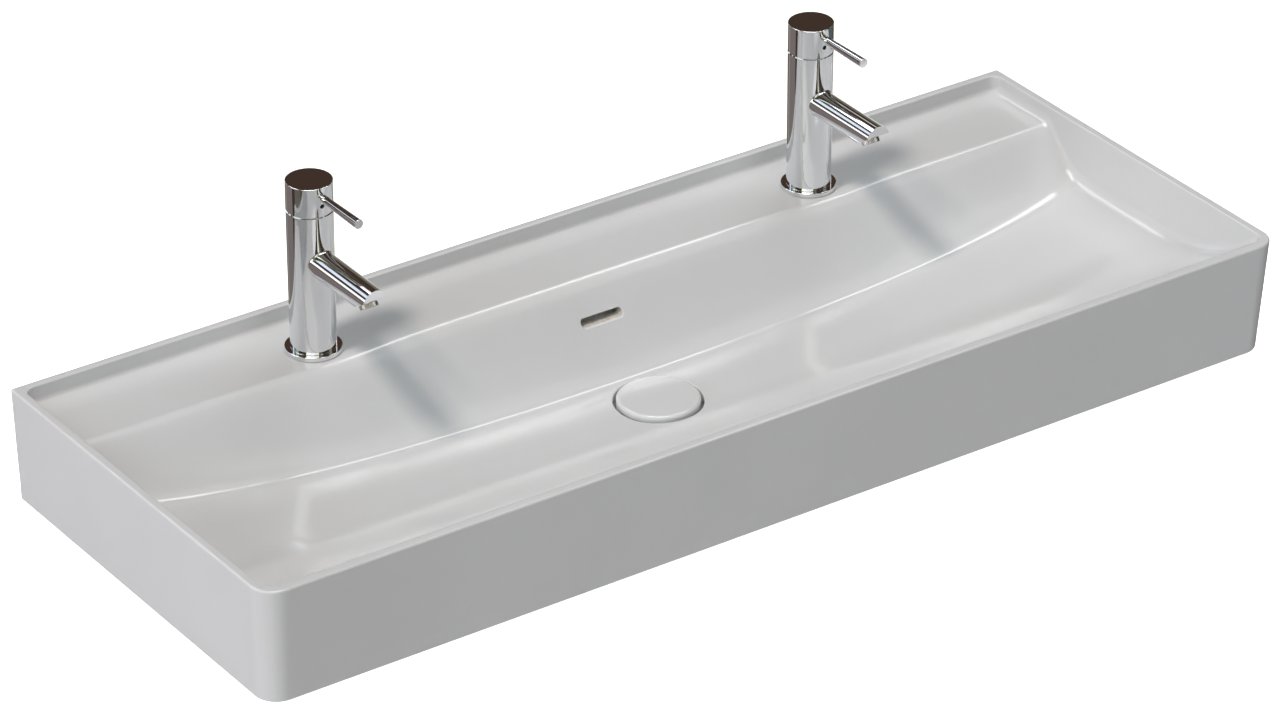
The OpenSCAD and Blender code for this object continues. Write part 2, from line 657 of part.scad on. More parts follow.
// Click body on three webs inside the tube
web_n = 3;
module waste_click_body() color("silver") at_drain() difference() {
    translate([0, 0, flange_top - click_top - click_len]) {
        cylinder(d = click_dia, h = click_len, $fn = small);
        for (i = [0:web_n - 1]) rotate([0, 0, 360 * i / web_n]) translate([0, -web_t / 2, 0])
            cube([waste_bore / 2 - slip, web_t, web_h]);
    }
    translate([0, 0, flange_top - click_top - click_len + web_t])
        cylinder(d = rod_dia + 2 * run_gap, h = click_len + over, $fn = small);
}
module waste_bottom_gasket() color("dimgray") at_drain() translate([0, 0, under_z - bottom_gasket_t])
    ring(bottom_gasket_dia, waste_dia + 2 * slip, bottom_gasket_t);
module waste_nut() color("silver") at_drain()
    translate([0, 0, under_z - bottom_gasket_t - waste_nut_h]) difference() {
        cylinder(d = waste_nut_dia / cos(180 / waste_nut_flats), h = waste_nut_h, $fn = waste_nut_flats);
        translate([0, 0, -over]) cylinder(d = waste_dia, h = waste_nut_h + 2 * over, $fn = smooth);
    }
// Ceramic cover, raised, with its seal and stem
cover_z = drain_z + cover_up - cover_t;
cover_hollow_dia = 73;
cover_hollow_h = 3;
cover_seal_t = 2;
carrier_dia = 38;
carrier_t = 1.5;
rod_len = 48;
module cover() color("whitesmoke") at_drain() translate([0, 0, cover_z]) rotate_extrude($fn = smooth)
    difference() {
        union() {
            square([cover_dia / 2, cover_t - cover_edge_r]);
            square([cover_dia / 2 - cover_edge_r, cover_t]);
            translate([cover_dia / 2 - cover_edge_r, cover_t - cover_edge_r])
                intersection() {
                    circle(r = cover_edge_r, $fn = small);
                    square(cover_edge_r);
                }
        }
        square([cover_hollow_dia / 2, cover_hollow_h]);
    }
module cover_seal() color("dimgray") at_drain()
    translate([0, 0, cover_z + cover_hollow_h - cover_seal_t])
        ring(cover_hollow_dia - 4 * slip, carrier_dia + 2 * slip, cover_seal_t);
module cover_stem() color("silver") at_drain() translate([0, 0, cover_z + cover_hollow_h]) {
    translate([0, 0, -carrier_t]) cylinder(d = carrier_dia, h = carrier_t, $fn = smooth);
    translate([0, 0, -carrier_t - rod_len]) cylinder(d = rod_dia, h = rod_len + slip, $fn = small);
}

basin();
base_seal(-1);  // left_base_seal
base_ring(-1);  // left_base_ring
mixer_body(-1);  // left_mixer_body
aerator_ring(-1);  // left_aerator_ring
aerator_insert(-1);  // left_aerator_insert
cartridge(-1);  // left_cartridge
cartridge_nut(-1);  // left_cartridge_nut
turret(-1);  // left_turret
lift_pin(-1);  // left_lift_pin
stem(-1);  // left_stem
handle_cap(-1);  // left_handle_cap
lever(-1);  // left_lever
set_screw(-1);  // left_set_screw
base_seal(1);  // right_base_seal
base_ring(1);  // right_base_ring
mixer_body(1);  // right_mixer_body
aerator_ring(1);  // right_aerator_ring
aerator_insert(1);  // right_aerator_insert
cartridge(1);  // right_cartridge
cartridge_nut(1);  // right_cartridge_nut
turret(1);  // right_turret
lift_pin(1);  // right_lift_pin
stem(1);  // right_stem
handle_cap(1);  // right_handle_cap
lever(1);  // right_lever
set_screw(1);  // right_set_screw
mounting_studs();
clamp_rubbers();
clamp_washers();
stud_nuts();
waste_top_gasket();
waste_flange();
waste_click_body();
waste_bottom_gasket();
waste_nut();
cover();
cover_seal();
cover_stem();
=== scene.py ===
"""A trough sink in white glazed fireclay with two single-lever mixer taps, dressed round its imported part.

Lengths in the sections are millimetres in the part's own frame: X along the width, Y into the wall,
Z up, from the middle of the wall bolts. Each mesh is brought to metres as it is made.
"""
import math

import bmesh
import bpy
import numpy as np
from mathutils import Matrix, Vector


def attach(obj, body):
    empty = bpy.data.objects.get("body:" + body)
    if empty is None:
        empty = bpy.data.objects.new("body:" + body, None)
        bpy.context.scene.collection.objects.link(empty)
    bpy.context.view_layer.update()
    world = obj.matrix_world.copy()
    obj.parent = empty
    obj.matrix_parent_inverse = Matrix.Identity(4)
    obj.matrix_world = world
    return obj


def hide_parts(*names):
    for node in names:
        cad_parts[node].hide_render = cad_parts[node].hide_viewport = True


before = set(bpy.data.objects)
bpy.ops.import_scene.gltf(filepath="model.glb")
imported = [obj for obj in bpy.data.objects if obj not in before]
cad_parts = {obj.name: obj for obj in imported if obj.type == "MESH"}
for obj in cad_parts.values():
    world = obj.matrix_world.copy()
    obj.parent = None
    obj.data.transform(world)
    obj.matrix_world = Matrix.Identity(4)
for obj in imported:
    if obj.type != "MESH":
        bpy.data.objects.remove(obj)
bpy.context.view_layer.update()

# Camera: a long lens looks down on the basin from its front left corner.
# Its turn, tilt and roll were solved from the straight edges of the basin.
look_turn, look_tilt, look_roll = math.radians(-34.807), math.radians(29.498), math.radians(0.0689)
lens = bpy.data.cameras.new("studio_camera")
lens.lens, lens.sensor_width, lens.clip_end = 172.03, 36.0, 60.0
camera = bpy.data.objects.new("studio_camera", lens)
bpy.context.scene.collection.objects.link(camera)
camera.matrix_world = (Matrix.Translation((-3.0205, -4.5450, 2.9943))
                       @ Matrix.Rotation(look_turn, 4, "Z")
                       @ Matrix.Rotation(math.pi / 2 - look_tilt, 4, "X")
                       @ Matrix.Rotation(look_roll, 4, "Z"))
bpy.context.scene.camera = camera
bpy.context.scene.view_settings.view_transform = "Standard"


# Studio: a white room round a sink that hangs on a wall, so its floor lies far below.
# The camera sees the room white, while only a little soft light comes from it.
def new_material(name):
    """Empty node tree with one Principled shader joined to the output."""
    mat = bpy.data.materials.new(name)
    mat.use_nodes = True
    tree = mat.node_tree
    tree.nodes.clear()
    out = tree.nodes.new("ShaderNodeOutputMaterial")
    shader = tree.nodes.new("ShaderNodeBsdfPrincipled")
    tree.links.new(shader.outputs["BSDF"], out.inputs["Surface"])
    return mat, tree, shader


def seen_directly(tree):
    """1 for rays from the camera, off gloss or through glass, 0 for the soft light of the room."""
    path = tree.nodes.new("ShaderNodeLightPath")
    last = path.outputs["Is Camera Ray"]
    for other in ("Is Glossy Ray", "Is Transmission Ray"):
        both = tree.nodes.new("ShaderNodeMath")
        both.operation = "MAXIMUM"
        tree.links.new(last, both.inputs[0])
        tree.links.new(path.outputs[other], both.inputs[1])
        last = both.outputs[0]
    return last


room_light = 0.03
world = bpy.data.worlds.new("white_room")
world.use_nodes = True
bpy.context.scene.world = world
room = world.node_tree
room.nodes.clear()
soft = room.nodes.new("ShaderNodeBackground")
soft.inputs["Color"].default_value = (0.97, 0.98, 1.0, 1)
soft.inputs["Strength"].default_value = room_light
white = room.nodes.new("ShaderNodeBackground")
white.inputs["Color"].default_value = (1, 1, 1, 1)
white.inputs["Strength"].default_value = 1.0
which = room.nodes.new("ShaderNodeMixShader")
room.links.new(seen_directly(room), which.inputs["Fac"])
room.links.new(soft.outputs[0], which.inputs[1])
room.links.new(white.outputs[0], which.inputs[2])
world_out = room.nodes.new("ShaderNodeOutputWorld")
room.links.new(which.outputs[0], world_out.inputs["Surface"])


def stage_piece(name, points, faces, mat):
    """Part of the studio, with its points in metres."""
    mesh = bpy.data.meshes.new(name)
    mesh.from_pydata(np.asarray(points, float).tolist(), [], faces)
    mesh.materials.append(mat)
    part = bpy.data.objects.new(name, mesh)
    bpy.context.scene.collection.objects.link(part)
    return part


floor_z, floor_half = -0.79, 14.0
pale, pale_tree, pale_shader = new_material("pale_floor")
pale_shader.inputs["Base Color"].default_value = (0.9, 0.9, 0.9, 1)
pale_shader.inputs["Roughness"].default_value = 0.9
pale_shader.inputs["Specular IOR Level"].default_value = 0.0
lift = pale_tree.nodes.new("ShaderNodeEmission")
lift.inputs["Color"].default_value = (1, 1, 1, 1)
lift.inputs["Strength"].default_value = 0.93
nothing = pale_tree.nodes.new("ShaderNodeEmission")
nothing.inputs["Strength"].default_value = 0.0
gate = pale_tree.nodes.new("ShaderNodeMixShader")
total = pale_tree.nodes.new("ShaderNodeAddShader")
pale_tree.links.new(seen_directly(pale_tree), gate.inputs["Fac"])
pale_tree.links.new(nothing.outputs[0], gate.inputs[1])
pale_tree.links.new(lift.outputs[0], gate.inputs[2])
pale_tree.links.new(pale_shader.outputs[0], total.inputs[0])
pale_tree.links.new(gate.outputs[0], total.inputs[1])
pale_tree.links.new(total.outputs[0], pale_tree.nodes["Material Output"].inputs["Surface"])
floor = stage_piece("studio_floor",
                    [(-floor_half, -floor_half, floor_z), (floor_half, -floor_half, floor_z),
                     (floor_half, floor_half, floor_z), (-floor_half, floor_half, floor_z)],
                    [(0, 1, 2, 3)], pale)


# Light tent: what polished surfaces mirror. A dark brown tent stands all round the sink, and pale panels
# hang in it. Only gloss sees them, because dull surfaces are lit by the lamps and by the white room.
floor.visible_glossy = False
tent_middle = np.array([0.0, -0.23, 0.1])


def glow_material(name, colour):
    """Shader that shows one colour, whatever light falls on it."""
    mat, tree, shader = new_material(name)
    glow = tree.nodes.new("ShaderNodeEmission")
    glow.inputs["Color"].default_value = (*colour, 1)
    tree.nodes.remove(shader)
    tree.links.new(glow.outputs[0], tree.nodes["Material Output"].inputs["Surface"])
    return mat


def grid_faces(n, m, close_m=False):
    """Quads of an n by m grid of points, closed round its second direction if asked."""
    i, j = np.meshgrid(np.arange(n - 1), np.arange(m if close_m else m - 1), indexing="ij")
    k = (j + 1) % m
    return np.stack([i * m + j, i * m + k, (i + 1) * m + k, (i + 1) * m + j], -1).reshape(-1, 4)


def tent_panel(name, turns, heights, colour, reach=7.0, across=13, up=9):
    """Patch of a ball round the tent's middle: reach times (cos height cos turn, cos height sin turn,
    sin height), with the turns counted from +X and both in degrees."""
    turn, height = np.meshgrid(np.radians(np.linspace(*turns, across)), np.radians(np.linspace(*heights, up)))
    ball = np.stack([np.cos(height) * np.cos(turn), np.cos(height) * np.sin(turn), np.sin(height)], -1)
    panel = stage_piece(name, tent_middle + reach * ball.reshape(-1, 3), grid_faces(up, across).tolist(),
                        glow_material(name, colour))
    panel.visible_camera = panel.visible_diffuse = panel.visible_shadow = False
    panel.visible_transmission = panel.visible_volume_scatter = False


tent_panel("dark_tent", (0, 360), (-89.9, 89.9), (0.06, 0.037, 0.026), reach=7.6, across=49, up=25)
for panel, turns, heights, colour in (
        ("rear_strip_right", (340, 372), (46, 54), (0.5, 0.5, 0.5)),
        ("rear_strip_top", (338, 376), (56, 65), (1.3, 1.25, 1.2)),
        ("rear_glint", (16, 40), (48.5, 60), (8, 8, 7.9)),
        ("rear_window", (30, 42), (20, 38), (1.6, 1.6, 1.6)),
        ("rear_window_side", (45, 60), (33, 44), (0.7, 0.7, 0.7)),
        ("rear_strip_left", (75, 90), (46, 54), (1, 1, 0.9)),
        ("rear_strip_far", (85, 125), (42, 62), (4.5, 4.5, 4.7)),
        ("zenith_window", (0, 360), (70, 89.9), (7, 7, 7.1)),
        ("rear_left_window", (118, 131), (24, 35), (0.9, 1, 1.15)),
        ("slope_light", (317, 339), (47, 58), (1.2, 1.2, 1.1)),
        ("right_low_glow", (30, 60), (0, 20), (0.16, 0.15, 0.12)),
        ("rear_low_window", (90, 120), (0, 20), (1.4, 1.7, 2)),
        ("rear_low_gap", (131, 140), (4, 14), (1.6, 1.6, 1.6)),
        ("left_low_window", (150, 180), (0, 20), (3.2, 3.4, 3.4)),
        ("left_low_glow", (180, 210), (0, 20), (0.3, 0.22, 0.1)),
        ("left_wall_patch", (140, 160), (20, 40), (0.4, 0.5, 0.4)),
        ("left_high_window", (135, 180), (40, 65), (1, 1.2, 1)),
        ("front_high_glow", (225, 270), (40, 65), (0.15, 0.13, 0.11)),
        ("front_window_left", (200, 220), (20, 40), (1.9, 2, 1.5)),
        ("front_window", (220, 240), (20, 40), (1.4, 1.4, 1.5)),
        ("front_window_right", (240, 260), (20, 40), (1.3, 1.25, 1)),
        ("front_window_edge", (260, 280), (20, 40), (0.16, 0.18, 0.15)),
        ("right_front_glow", (320, 340), (20, 40), (0.27, 0.3, 0.27)),
        ("low_right", (0, 15), (-89.9, 0), (0.1, 0.1, 0.09)),
        ("low_rear_window_a", (30, 45), (-89.9, 0), (0.85, 0.95, 0.8)),
        ("low_rear_window_b", (45, 60), (-89.9, 0), (0.55, 0.55, 0.5)),
        ("low_rear_window_c", (60, 75), (-89.9, 0), (0.95, 0.9, 0.7)),
        ("low_rear_grey", (90, 105), (-89.9, 0), (0.28, 0.27, 0.25)),
        ("low_left_brown", (105, 150), (-89.9, 0), (0.2, 0.17, 0.16)),
        ("low_left_grey", (165, 195), (-89.9, 0), (0.13, 0.12, 0.1)),
        ("low_front_left", (210, 225), (-89.9, 0), (0.32, 0.35, 0.18)),
        ("low_front_right", (255, 270), (-89.9, 0), (0.15, 0.25, 0.1)),
        ("low_right_grey", (300, 315), (-89.9, 0), (0.36, 0.37, 0.38)),
        ("low_right_window", (315, 330), (-89.9, 0), (0.4, 0.55, 0.6)),
        ("low_right_glow", (330, 360), (-89.9, 0), (0.09, 0.12, 0.12))):
    tent_panel(panel, turns, heights, colour)


# Lamps: large soft squares at a distance, most of them on the left, so that shadows fall softly to the right.
# They light dull surfaces alone. Gloss doesn't see them, because it mirrors the tent.
def soft_lamp(name, place, size, power, tint, aim=(0, -0.23, 0)):
    """Square area lamp that points from its place at its aim."""
    light = bpy.data.lights.new(name, "AREA")
    light.shape, light.size, light.energy, light.color = "SQUARE", size, power, tint
    lamp = bpy.data.objects.new(name, light)
    bpy.context.scene.collection.objects.link(lamp)
    lamp.matrix_world = (Matrix.Translation(place)
                         @ (Vector(aim) - Vector(place)).to_track_quat("-Z", "Y").to_matrix().to_4x4())
    lamp.visible_glossy = False


soft_lamp("key_lamp", (-4.21, -0.52, 7.95), 1.25, 342.0, (1.00, 0.91, 0.86))
soft_lamp("left_low_lamp", (-13.93, -1.45, 0.73), 5.6, 457.3, (1.00, 0.90, 0.93))
soft_lamp("left_lamp", (-8.16, -0.23, 3.8), 4.8, 193.5, (0.77, 0.90, 1.00))
soft_lamp("left_front_lamp", (-5.38, -4.59, 4.0), 4.2, 64.0, (0.83, 0.92, 1.00))
soft_lamp("front_lamp", (0.53, -4.02, 3.21), 2.6, 40.3, (0.88, 0.95, 1.00))
soft_lamp("front_low_lamp", (0.52, -5.2, 0.26), 2.0, 11.1, (1.00, 0.81, 0.62))
soft_lamp("top_right_lamp", (1.52, 0.51, 2.49), 1.7, 24.8, (0.93, 0.97, 1.00), aim=(0, -0.2, 0))
soft_lamp("top_lamp", (0.39, -0.09, 3.98), 3.0, 8.0, (0.89, 0.94, 1.00))


# Basin: one casting of fireclay, glazed white all over but for its foot and its hollow underside.
# A flat rim runs round a tap ledge, a steep rear slope, a floor that falls to the drain from both ends,
# and a long sweep that carries the floor up to the front rim. Its mould gives it drafts and soft edges.
MM = 0.001
basin_w, basin_d, rim_z, under_z = 1200.0, 465.0, 65.0, -60.0
rim_w, front_draft, side_draft = 9.5, 7.0, 5.0
front_r, rear_r, rim_edge_r, foot_edge_r, lip_r = 24.5, 2.5, 2.2, 1.6, 1.9
ledge_z, drain_z, floor_rise = 46.5, -34.0, 33.0
half_in = basin_w / 2 - rim_w
sweep_r, sweep_lip = 245.0, 11.0
foot_d, foot_shift, crest_d, crest_swell, swell_w = 180.0, 30.0, 98.0, 6.0, 60.0
crest_roll, foot_ease, foot_soft, foot_spread = 0.22, 0.5, 2.5, 9.0
inner_front_r, inner_rear_r, end_r, ledge_r, front_corner_r, fillet_share = 16.0, 11.0, 10.0, 5.0, 7.0, 0.7
tap_x, tap_d, drain_d = 300.4, 71.5, 232.5


def floor_height(x):
    """Parabola that falls from both ends to the drain."""
    return drain_z + floor_rise * (x / half_in) ** 2


def sweep_start(x):
    """Distance from the wall at which an arc of the sweep's radius leaves the floor, to end at the rim."""
    rise = rim_z - floor_height(x)
    return basin_d - sweep_lip - np.sqrt(2 * sweep_r * rise - rise ** 2)


def foot_line(x):
    """Distance from the wall to the foot of the rear slope, which runs nearer the wall at both ends."""
    return foot_d - foot_shift * (np.abs(x) / half_in) ** 6


def crest_line(x):
    """Distance from the wall to the ledge's front corner, swelling forward in front of each tap."""
    return crest_d + crest_swell * np.exp(-((np.abs(x) - tap_x) / swell_w) ** 2)


def softer(a, b, k):
    """Larger of two heights, rounded over about k by a hyperbola."""
    return (a + b + np.sqrt((a - b) ** 2 + k * k)) / 2


def slope_share(u):
    """Height of the rear slope, 1 at its crest and 0 at its foot, from level at the crest.

    The fall grows as u / sqrt(u^2 + roll^2) times 1 - ease u, and is summed in closed form.
    """
    def fallen(u):
        root = np.sqrt(u ** 2 + crest_roll ** 2)
        return root - crest_roll - foot_ease / 2 * (u * root - crest_roll ** 2 * np.arcsinh(u / crest_roll))
    return 1 - fallen(np.clip(u, 0, 2)) / fallen(1.0)


def fillet(r, gap):
    """Rise of a quarter round of radius r at a gap from the wall that it meets."""
    return r - np.sqrt(np.maximum(0, r * r - np.maximum(0, r - gap) ** 2))


def bowl_height(x, d):
    """Higher of the floor with its front sweep and the rear slope below the ledge."""
    base = floor_height(x)
    run = np.clip(d - sweep_start(x), 0, sweep_r)
    sweep = base + sweep_r - np.sqrt(sweep_r ** 2 - run ** 2)
    slope = base + (ledge_z - base) * slope_share((d - crest_line(x)) / (foot_line(x) - crest_line(x)))
    return softer(sweep, slope, foot_soft + foot_spread * (np.abs(x) / half_in) ** 6)


def closer_near(low, high, n, marks, width, pull):
    """n places from low to high whose spacing shrinks by 1 + pull within width of each mark."""
    t = np.linspace(low, high, 1200)
    density = 1 + sum(pull * np.exp(-((t - m) / width) ** 2) for m in marks)
    total = np.concatenate([[0], np.cumsum((density[1:] + density[:-1]) / 2 * np.diff(t))])
    return np.interp(np.linspace(0, total[-1], n), total, t)


def inner_skin():
    """Grid over the bowl: stations along X, each running from the front rim to the rear wall.

    The height is the bowl's own, raised near each wall by a quarter round that shrinks where the wall is low.
    Returns the points and, for those along its edge, the sharp line of the rim and its outward direction.
    """
    mid, front = half_in - inner_front_r, basin_d - sweep_lip
    turn = np.radians([8, 16, 24, 32, 38, 41.3, 42.6, 43.8, 45, 46.2, 47.4, 48.7, 52, 58, 66, 74, 82, 90])
    ends = half_in - inner_rear_r * (1 - np.sin(turn))
    ends = np.concatenate([mid + np.array([0.6, 1.6, 2.8, 4.0]), [half_in - inner_rear_r], ends])
    x = np.concatenate([-ends[::-1], closer_near(-mid, mid, 231, (-mid, mid), 30.0, 1.5), ends])
    into_f, into_r = (fillet(r, half_in - np.abs(x)) for r in (inner_front_r, inner_rear_r))
    last, first = front - into_f, rim_w + into_r
    edge_step, before_foot, behind_foot = 1.4, 26.0, 20.0
    last_in = (last - edge_step * np.clip(1 - into_f / 2, 0, 1))[:, None]
    start = np.maximum(sweep_start(x), foot_line(x) + before_foot)[:, None]
    foot, crest, near = foot_line(x)[:, None], crest_line(x)[:, None], (first + ledge_r)[:, None]
    behind = foot - behind_foot
    bend = np.linspace(1, -1, 31)
    bend = np.sign(bend) * np.abs(bend) ** 1.5
    down, flat, arc = np.linspace(0, 1, 30)[1:], np.linspace(0, 1, 26)[1:], np.linspace(0, np.pi / 2, 9)[1:]
    rows = [last_in + (start - last_in) * np.linspace(0, 1, 46)[:-1],
            foot + np.where(bend > 0, start - foot, behind_foot) * bend,
            behind + (crest - behind) * (1 - (1 - down) ** 1.5),
            crest + (near - crest) * flat ** 1.5,
            first[:, None] + ledge_r * (1 - np.sin(arc))]
    d = np.concatenate(rows, axis=1)
    xx = np.repeat(x[:, None], d.shape[1], axis=1)
    base = bowl_height(xx, d)
    low_wall = fillet_share * (rim_z - base)
    r_corner = np.clip(low_wall[:, :1], 0, front_corner_r) * (into_f[:, None] > 0.05)
    rise = (fillet(np.clip(low_wall, 0, end_r), half_in - np.abs(xx)) ** 3
            + fillet(ledge_r, d - first[:, None]) ** 3 + fillet(r_corner, last[:, None] - d) ** 3) ** (1 / 3)
    line = np.stack([xx, -d, np.full_like(xx, rim_z)], -1)
    line[:, 0, 1] = -last
    out = np.zeros(xx.shape + (2,))
    out[0, :], out[-1, :] = (-1, 0), (1, 0)
    for j, r, away in ((0, inner_front_r, -1), (-1, inner_rear_r, 1)):
        side = np.clip((np.abs(x) - (half_in - r)) / r, 0, 1)
        out[:, j] = np.stack([np.sign(x) * side, away * np.sqrt(1 - side ** 2)], -1)
    return np.stack([xx, -d, base + rise], -1), line, out


def around(a):
    """Values of a grid along its edge, once round: front, right end, rear, left end."""
    return np.concatenate([a[:, 0], a[-1, 1:], a[-2::-1, -1], a[0, -2:0:-1]])


def plan_distance(x, d, half, front, r_front, r_rear):
    """Signed distance from a rectangle in plan whose front and rear corners have their own radii."""
    r = np.where(d > front / 2, r_front, r_rear)
    ax, ad = np.abs(x) - half + r, np.abs(d - front / 2) - front / 2 + r
    return np.hypot(np.maximum(ax, 0), np.maximum(ad, 0)) + np.minimum(np.maximum(ax, ad), 0) - r


def wall_ring(line, out, z, inset):
    """Ring at height z, found along the outward directions by halving, an inset inside the drafted walls."""
    lean = np.clip((rim_z - rim_edge_r - z) / (rim_z - rim_edge_r - under_z), 0, 1)
    half, front = basin_w / 2 - side_draft * lean, basin_d - front_draft * lean
    low, high = np.zeros(len(line)), np.full(len(line), 40.0)
    for _ in range(40):
        s = (low + high) / 2
        x, y = (line[:, :2] + out * s[:, None]).T
        beyond = plan_distance(x, -y, half, front, front_r, rear_r) + inset > 0
        low, high = np.where(beyond, low, s), np.where(beyond, s, high)
    return np.column_stack([line[:, :2] + out * low[:, None], np.full(len(line), z)])


def rim_and_walls(edge, line, out):
    """Rings from the bowl's edge: a curve of the second degree over the lip, the rim, a round, the wall."""
    down = edge - line
    reach = np.linalg.norm(down, axis=1, keepdims=True)
    t, along = np.minimum(lip_r, reach), np.column_stack([out, np.zeros(len(out))])
    rings = [line + t * (down / reach * (1 - s) ** 2 + along * s ** 2) for s in np.linspace(0, 1, 7)]
    turn = np.linspace(0, np.pi / 2, 7)
    levels = [(rim_z - rim_edge_r * (1 - np.cos(a)), rim_edge_r * (1 - np.sin(a))) for a in turn]
    levels += [(z, 0.0) for z in (rim_z - 4, 30.0, 0.0, -30.0, under_z + 3)]
    levels += [(under_z + foot_edge_r * (1 - np.sin(a)), foot_edge_r * (1 - np.cos(a))) for a in turn]
    return rings + [wall_ring(line, out, z, inset) for z, inset in levels]


def carried_on(edge, first, count):
    """Loops of point numbers, an edge and then count more numbered from first, and the quads between them."""
    loops = np.vstack([edge, first + np.arange(len(edge) * count).reshape(count, -1)])
    after = np.roll(loops, -1, axis=1)
    return loops, np.stack([loops[:-1], after[:-1], after[1:], loops[1:]], -1).reshape(-1, 4).tolist()


def walled_solid(grid, rings):
    """Closed solid: a grid of points, rings that carry its edge onward, and a flat face across the last."""
    n, m = grid.shape[:2]
    loops, quads = carried_on(around(np.arange(n * m).reshape(n, m)), n * m, len(rings))
    faces = grid_faces(n, m).tolist() + quads + [loops[-1].tolist()]
    return np.concatenate([grid.reshape(-1, 3)] + list(rings)), faces


def smooth_faces(mesh, angle):
    """Smooth shading that breaks at edges sharper than the angle in degrees."""
    mesh.polygons.foreach_set("use_smooth", np.ones(len(mesh.polygons), bool))
    mesh.set_sharp_from_angle(angle=math.radians(angle))
    mesh.update()


def mesh_piece(name, points, faces, mats=(), smooth_angle=30.0):
    """Closed mesh from millimetre points: doubles merged, faces turned outward, sharp edges marked."""
    mesh = bpy.data.meshes.new(name)
    mesh.from_pydata((np.asarray(points, float) * MM).tolist(), [], [tuple(f) for f in faces])
    tidy = bmesh.new()
    tidy.from_mesh(mesh)
    bmesh.ops.remove_doubles(tidy, verts=tidy.verts, dist=1e-6)
    bmesh.ops.recalc_face_normals(tidy, faces=tidy.faces)
    tidy.to_mesh(mesh)
    tidy.free()
    for m in mats:
        mesh.materials.append(m)
    smooth_faces(mesh, smooth_angle)
    piece = bpy.data.objects.new(name, mesh)
    bpy.context.scene.collection.objects.link(piece)
    return piece


def ring_solid(name, rings):
    """Closed mesh through rings of as many points each, with a flat face over the first and the last."""
    n = len(rings[0])
    faces = grid_faces(len(rings), n, close_m=True).tolist()
    faces += [list(range(n)), list(range(n * (len(rings) - 1), n * len(rings)))]
    return mesh_piece(name, np.concatenate(rings), faces)


def apply_modifiers(piece):
    """Puts the evaluated mesh in the piece's place and clears its modifiers."""
    mesh = bpy.data.meshes.new_from_object(piece.evaluated_get(bpy.context.evaluated_depsgraph_get()))
    piece.modifiers.clear()
    piece.data = mesh


def carve(piece, tools):
    """Takes each tool's solid from the piece, then throws the tools away."""
    for tool in tools:
        cut = piece.modifiers.new(tool.name, "BOOLEAN")
        cut.object, cut.operation, cut.solver = tool, "DIFFERENCE", "MANIFOLD"
    apply_modifiers(piece)
    for tool in tools:
        bpy.data.objects.remove(tool)
    smooth_faces(piece.data, 30.0)


def flatter_flats(piece):
    """Normals weighted by face area, so that flat faces stay flat right up to their rounds."""
    even = piece.modifiers.new("flats", "WEIGHTED_NORMAL")
    even.mode, even.keep_sharp, even.weight = "FACE_AREA_WITH_ANGLE", True, 60
    apply_modifiers(piece)


def round_prism(name, centre, radius, low, high, axis="Z", n=96):
    """Straight round tool along Z or Y from low to high, with n sides."""
    a = np.linspace(0, 2 * np.pi, n, endpoint=False)
    u, v = centre[0] + radius * np.cos(a), centre[1] + radius * np.sin(a)
    levels = [np.full(n, level) for level in (low, high)]
    return ring_solid(name, [np.column_stack([u, v, w] if axis == "Z" else [u, w, v]) for w in levels])


def block_across(name, width, outline):
    """Prism of the given width along X over an outline of (distance from the wall, height)."""
    d, z = np.asarray(outline, float).T
    return ring_solid(name, [np.column_stack([np.full(len(d), x), -d, z]) for x in (-width / 2, width / 2)])


clay_t, skirt_t, slope_shift, hollow_round = 11.0, 12.0, 6.0, 9.0
skirt_x, skirt_front = basin_w / 2 - side_draft - skirt_t, basin_d - front_draft - skirt_t
bolt_x, boss_depth, boss_r, bolt_r, drain_boss_r = 420.0, 20.0, 22.0, 7.0, 59.0
tap_hole_r, tap_seat_r = 17.5, 23.0
slot_z, slot_w, slot_h, slot_lip = 14.0, 50.0, 8.0, 1.2
duct_w, duct_gap, duct_skin, duct_wall, duct_foot, duct_h = 54.0, 14.0, 10.0, 10.0, -55.5, 7.0
recess_r, recess_lip, recess_z, recess_corner_r, drain_r = 45.5, 2.0, -44.0, 1.5, 23.5
past, tool_low, tool_top = 5.0, under_z - 9, 60.0


def hollow_underside():
    """Tool under the bowl: its surface one clay thickness lower, clear of its slopes, with rounded walls."""
    x = closer_near(-skirt_x, skirt_x, 141, (-skirt_x, skirt_x), 14.0, 6.0)
    d = closer_near(skirt_t, skirt_front, 91, (skirt_t, crest_d, foot_d, skirt_front), 12.0, 4.0)
    xx, dd = np.meshgrid(x, d, indexing="ij")
    roof = np.minimum.reduce([bowl_height(xx, dd + s) for s in (-slope_shift, 0, slope_shift)]) - clay_t
    gap = np.minimum.reduce([skirt_x - np.abs(xx), dd - skirt_t, skirt_front - dd])
    grid = np.stack([xx, -dd, roof - fillet(hollow_round, gap)], -1)
    edge = around(grid)
    below = np.column_stack([edge[:, :2], np.full(len(edge), under_z - past)])
    return mesh_piece("hollow", *walled_solid(grid, [below]))


def slope_place(z):
    """Distance from the wall at which a straight rear slope has height z, in line with the drain."""
    return foot_d - (z - drain_z) * (foot_d - crest_d) / (ledge_z - drain_z)


def duct_outline(inner, outer, top, foot, roof, mouth):
    """Outline of the duct or of the clay round it: down behind the slope, then level to the drain."""
    return [(mouth, foot), (slope_place(foot) - outer, foot), (slope_place(top) - outer, top),
            (slope_place(top) - inner, top), (slope_place(roof) - inner, roof), (mouth, roof)]


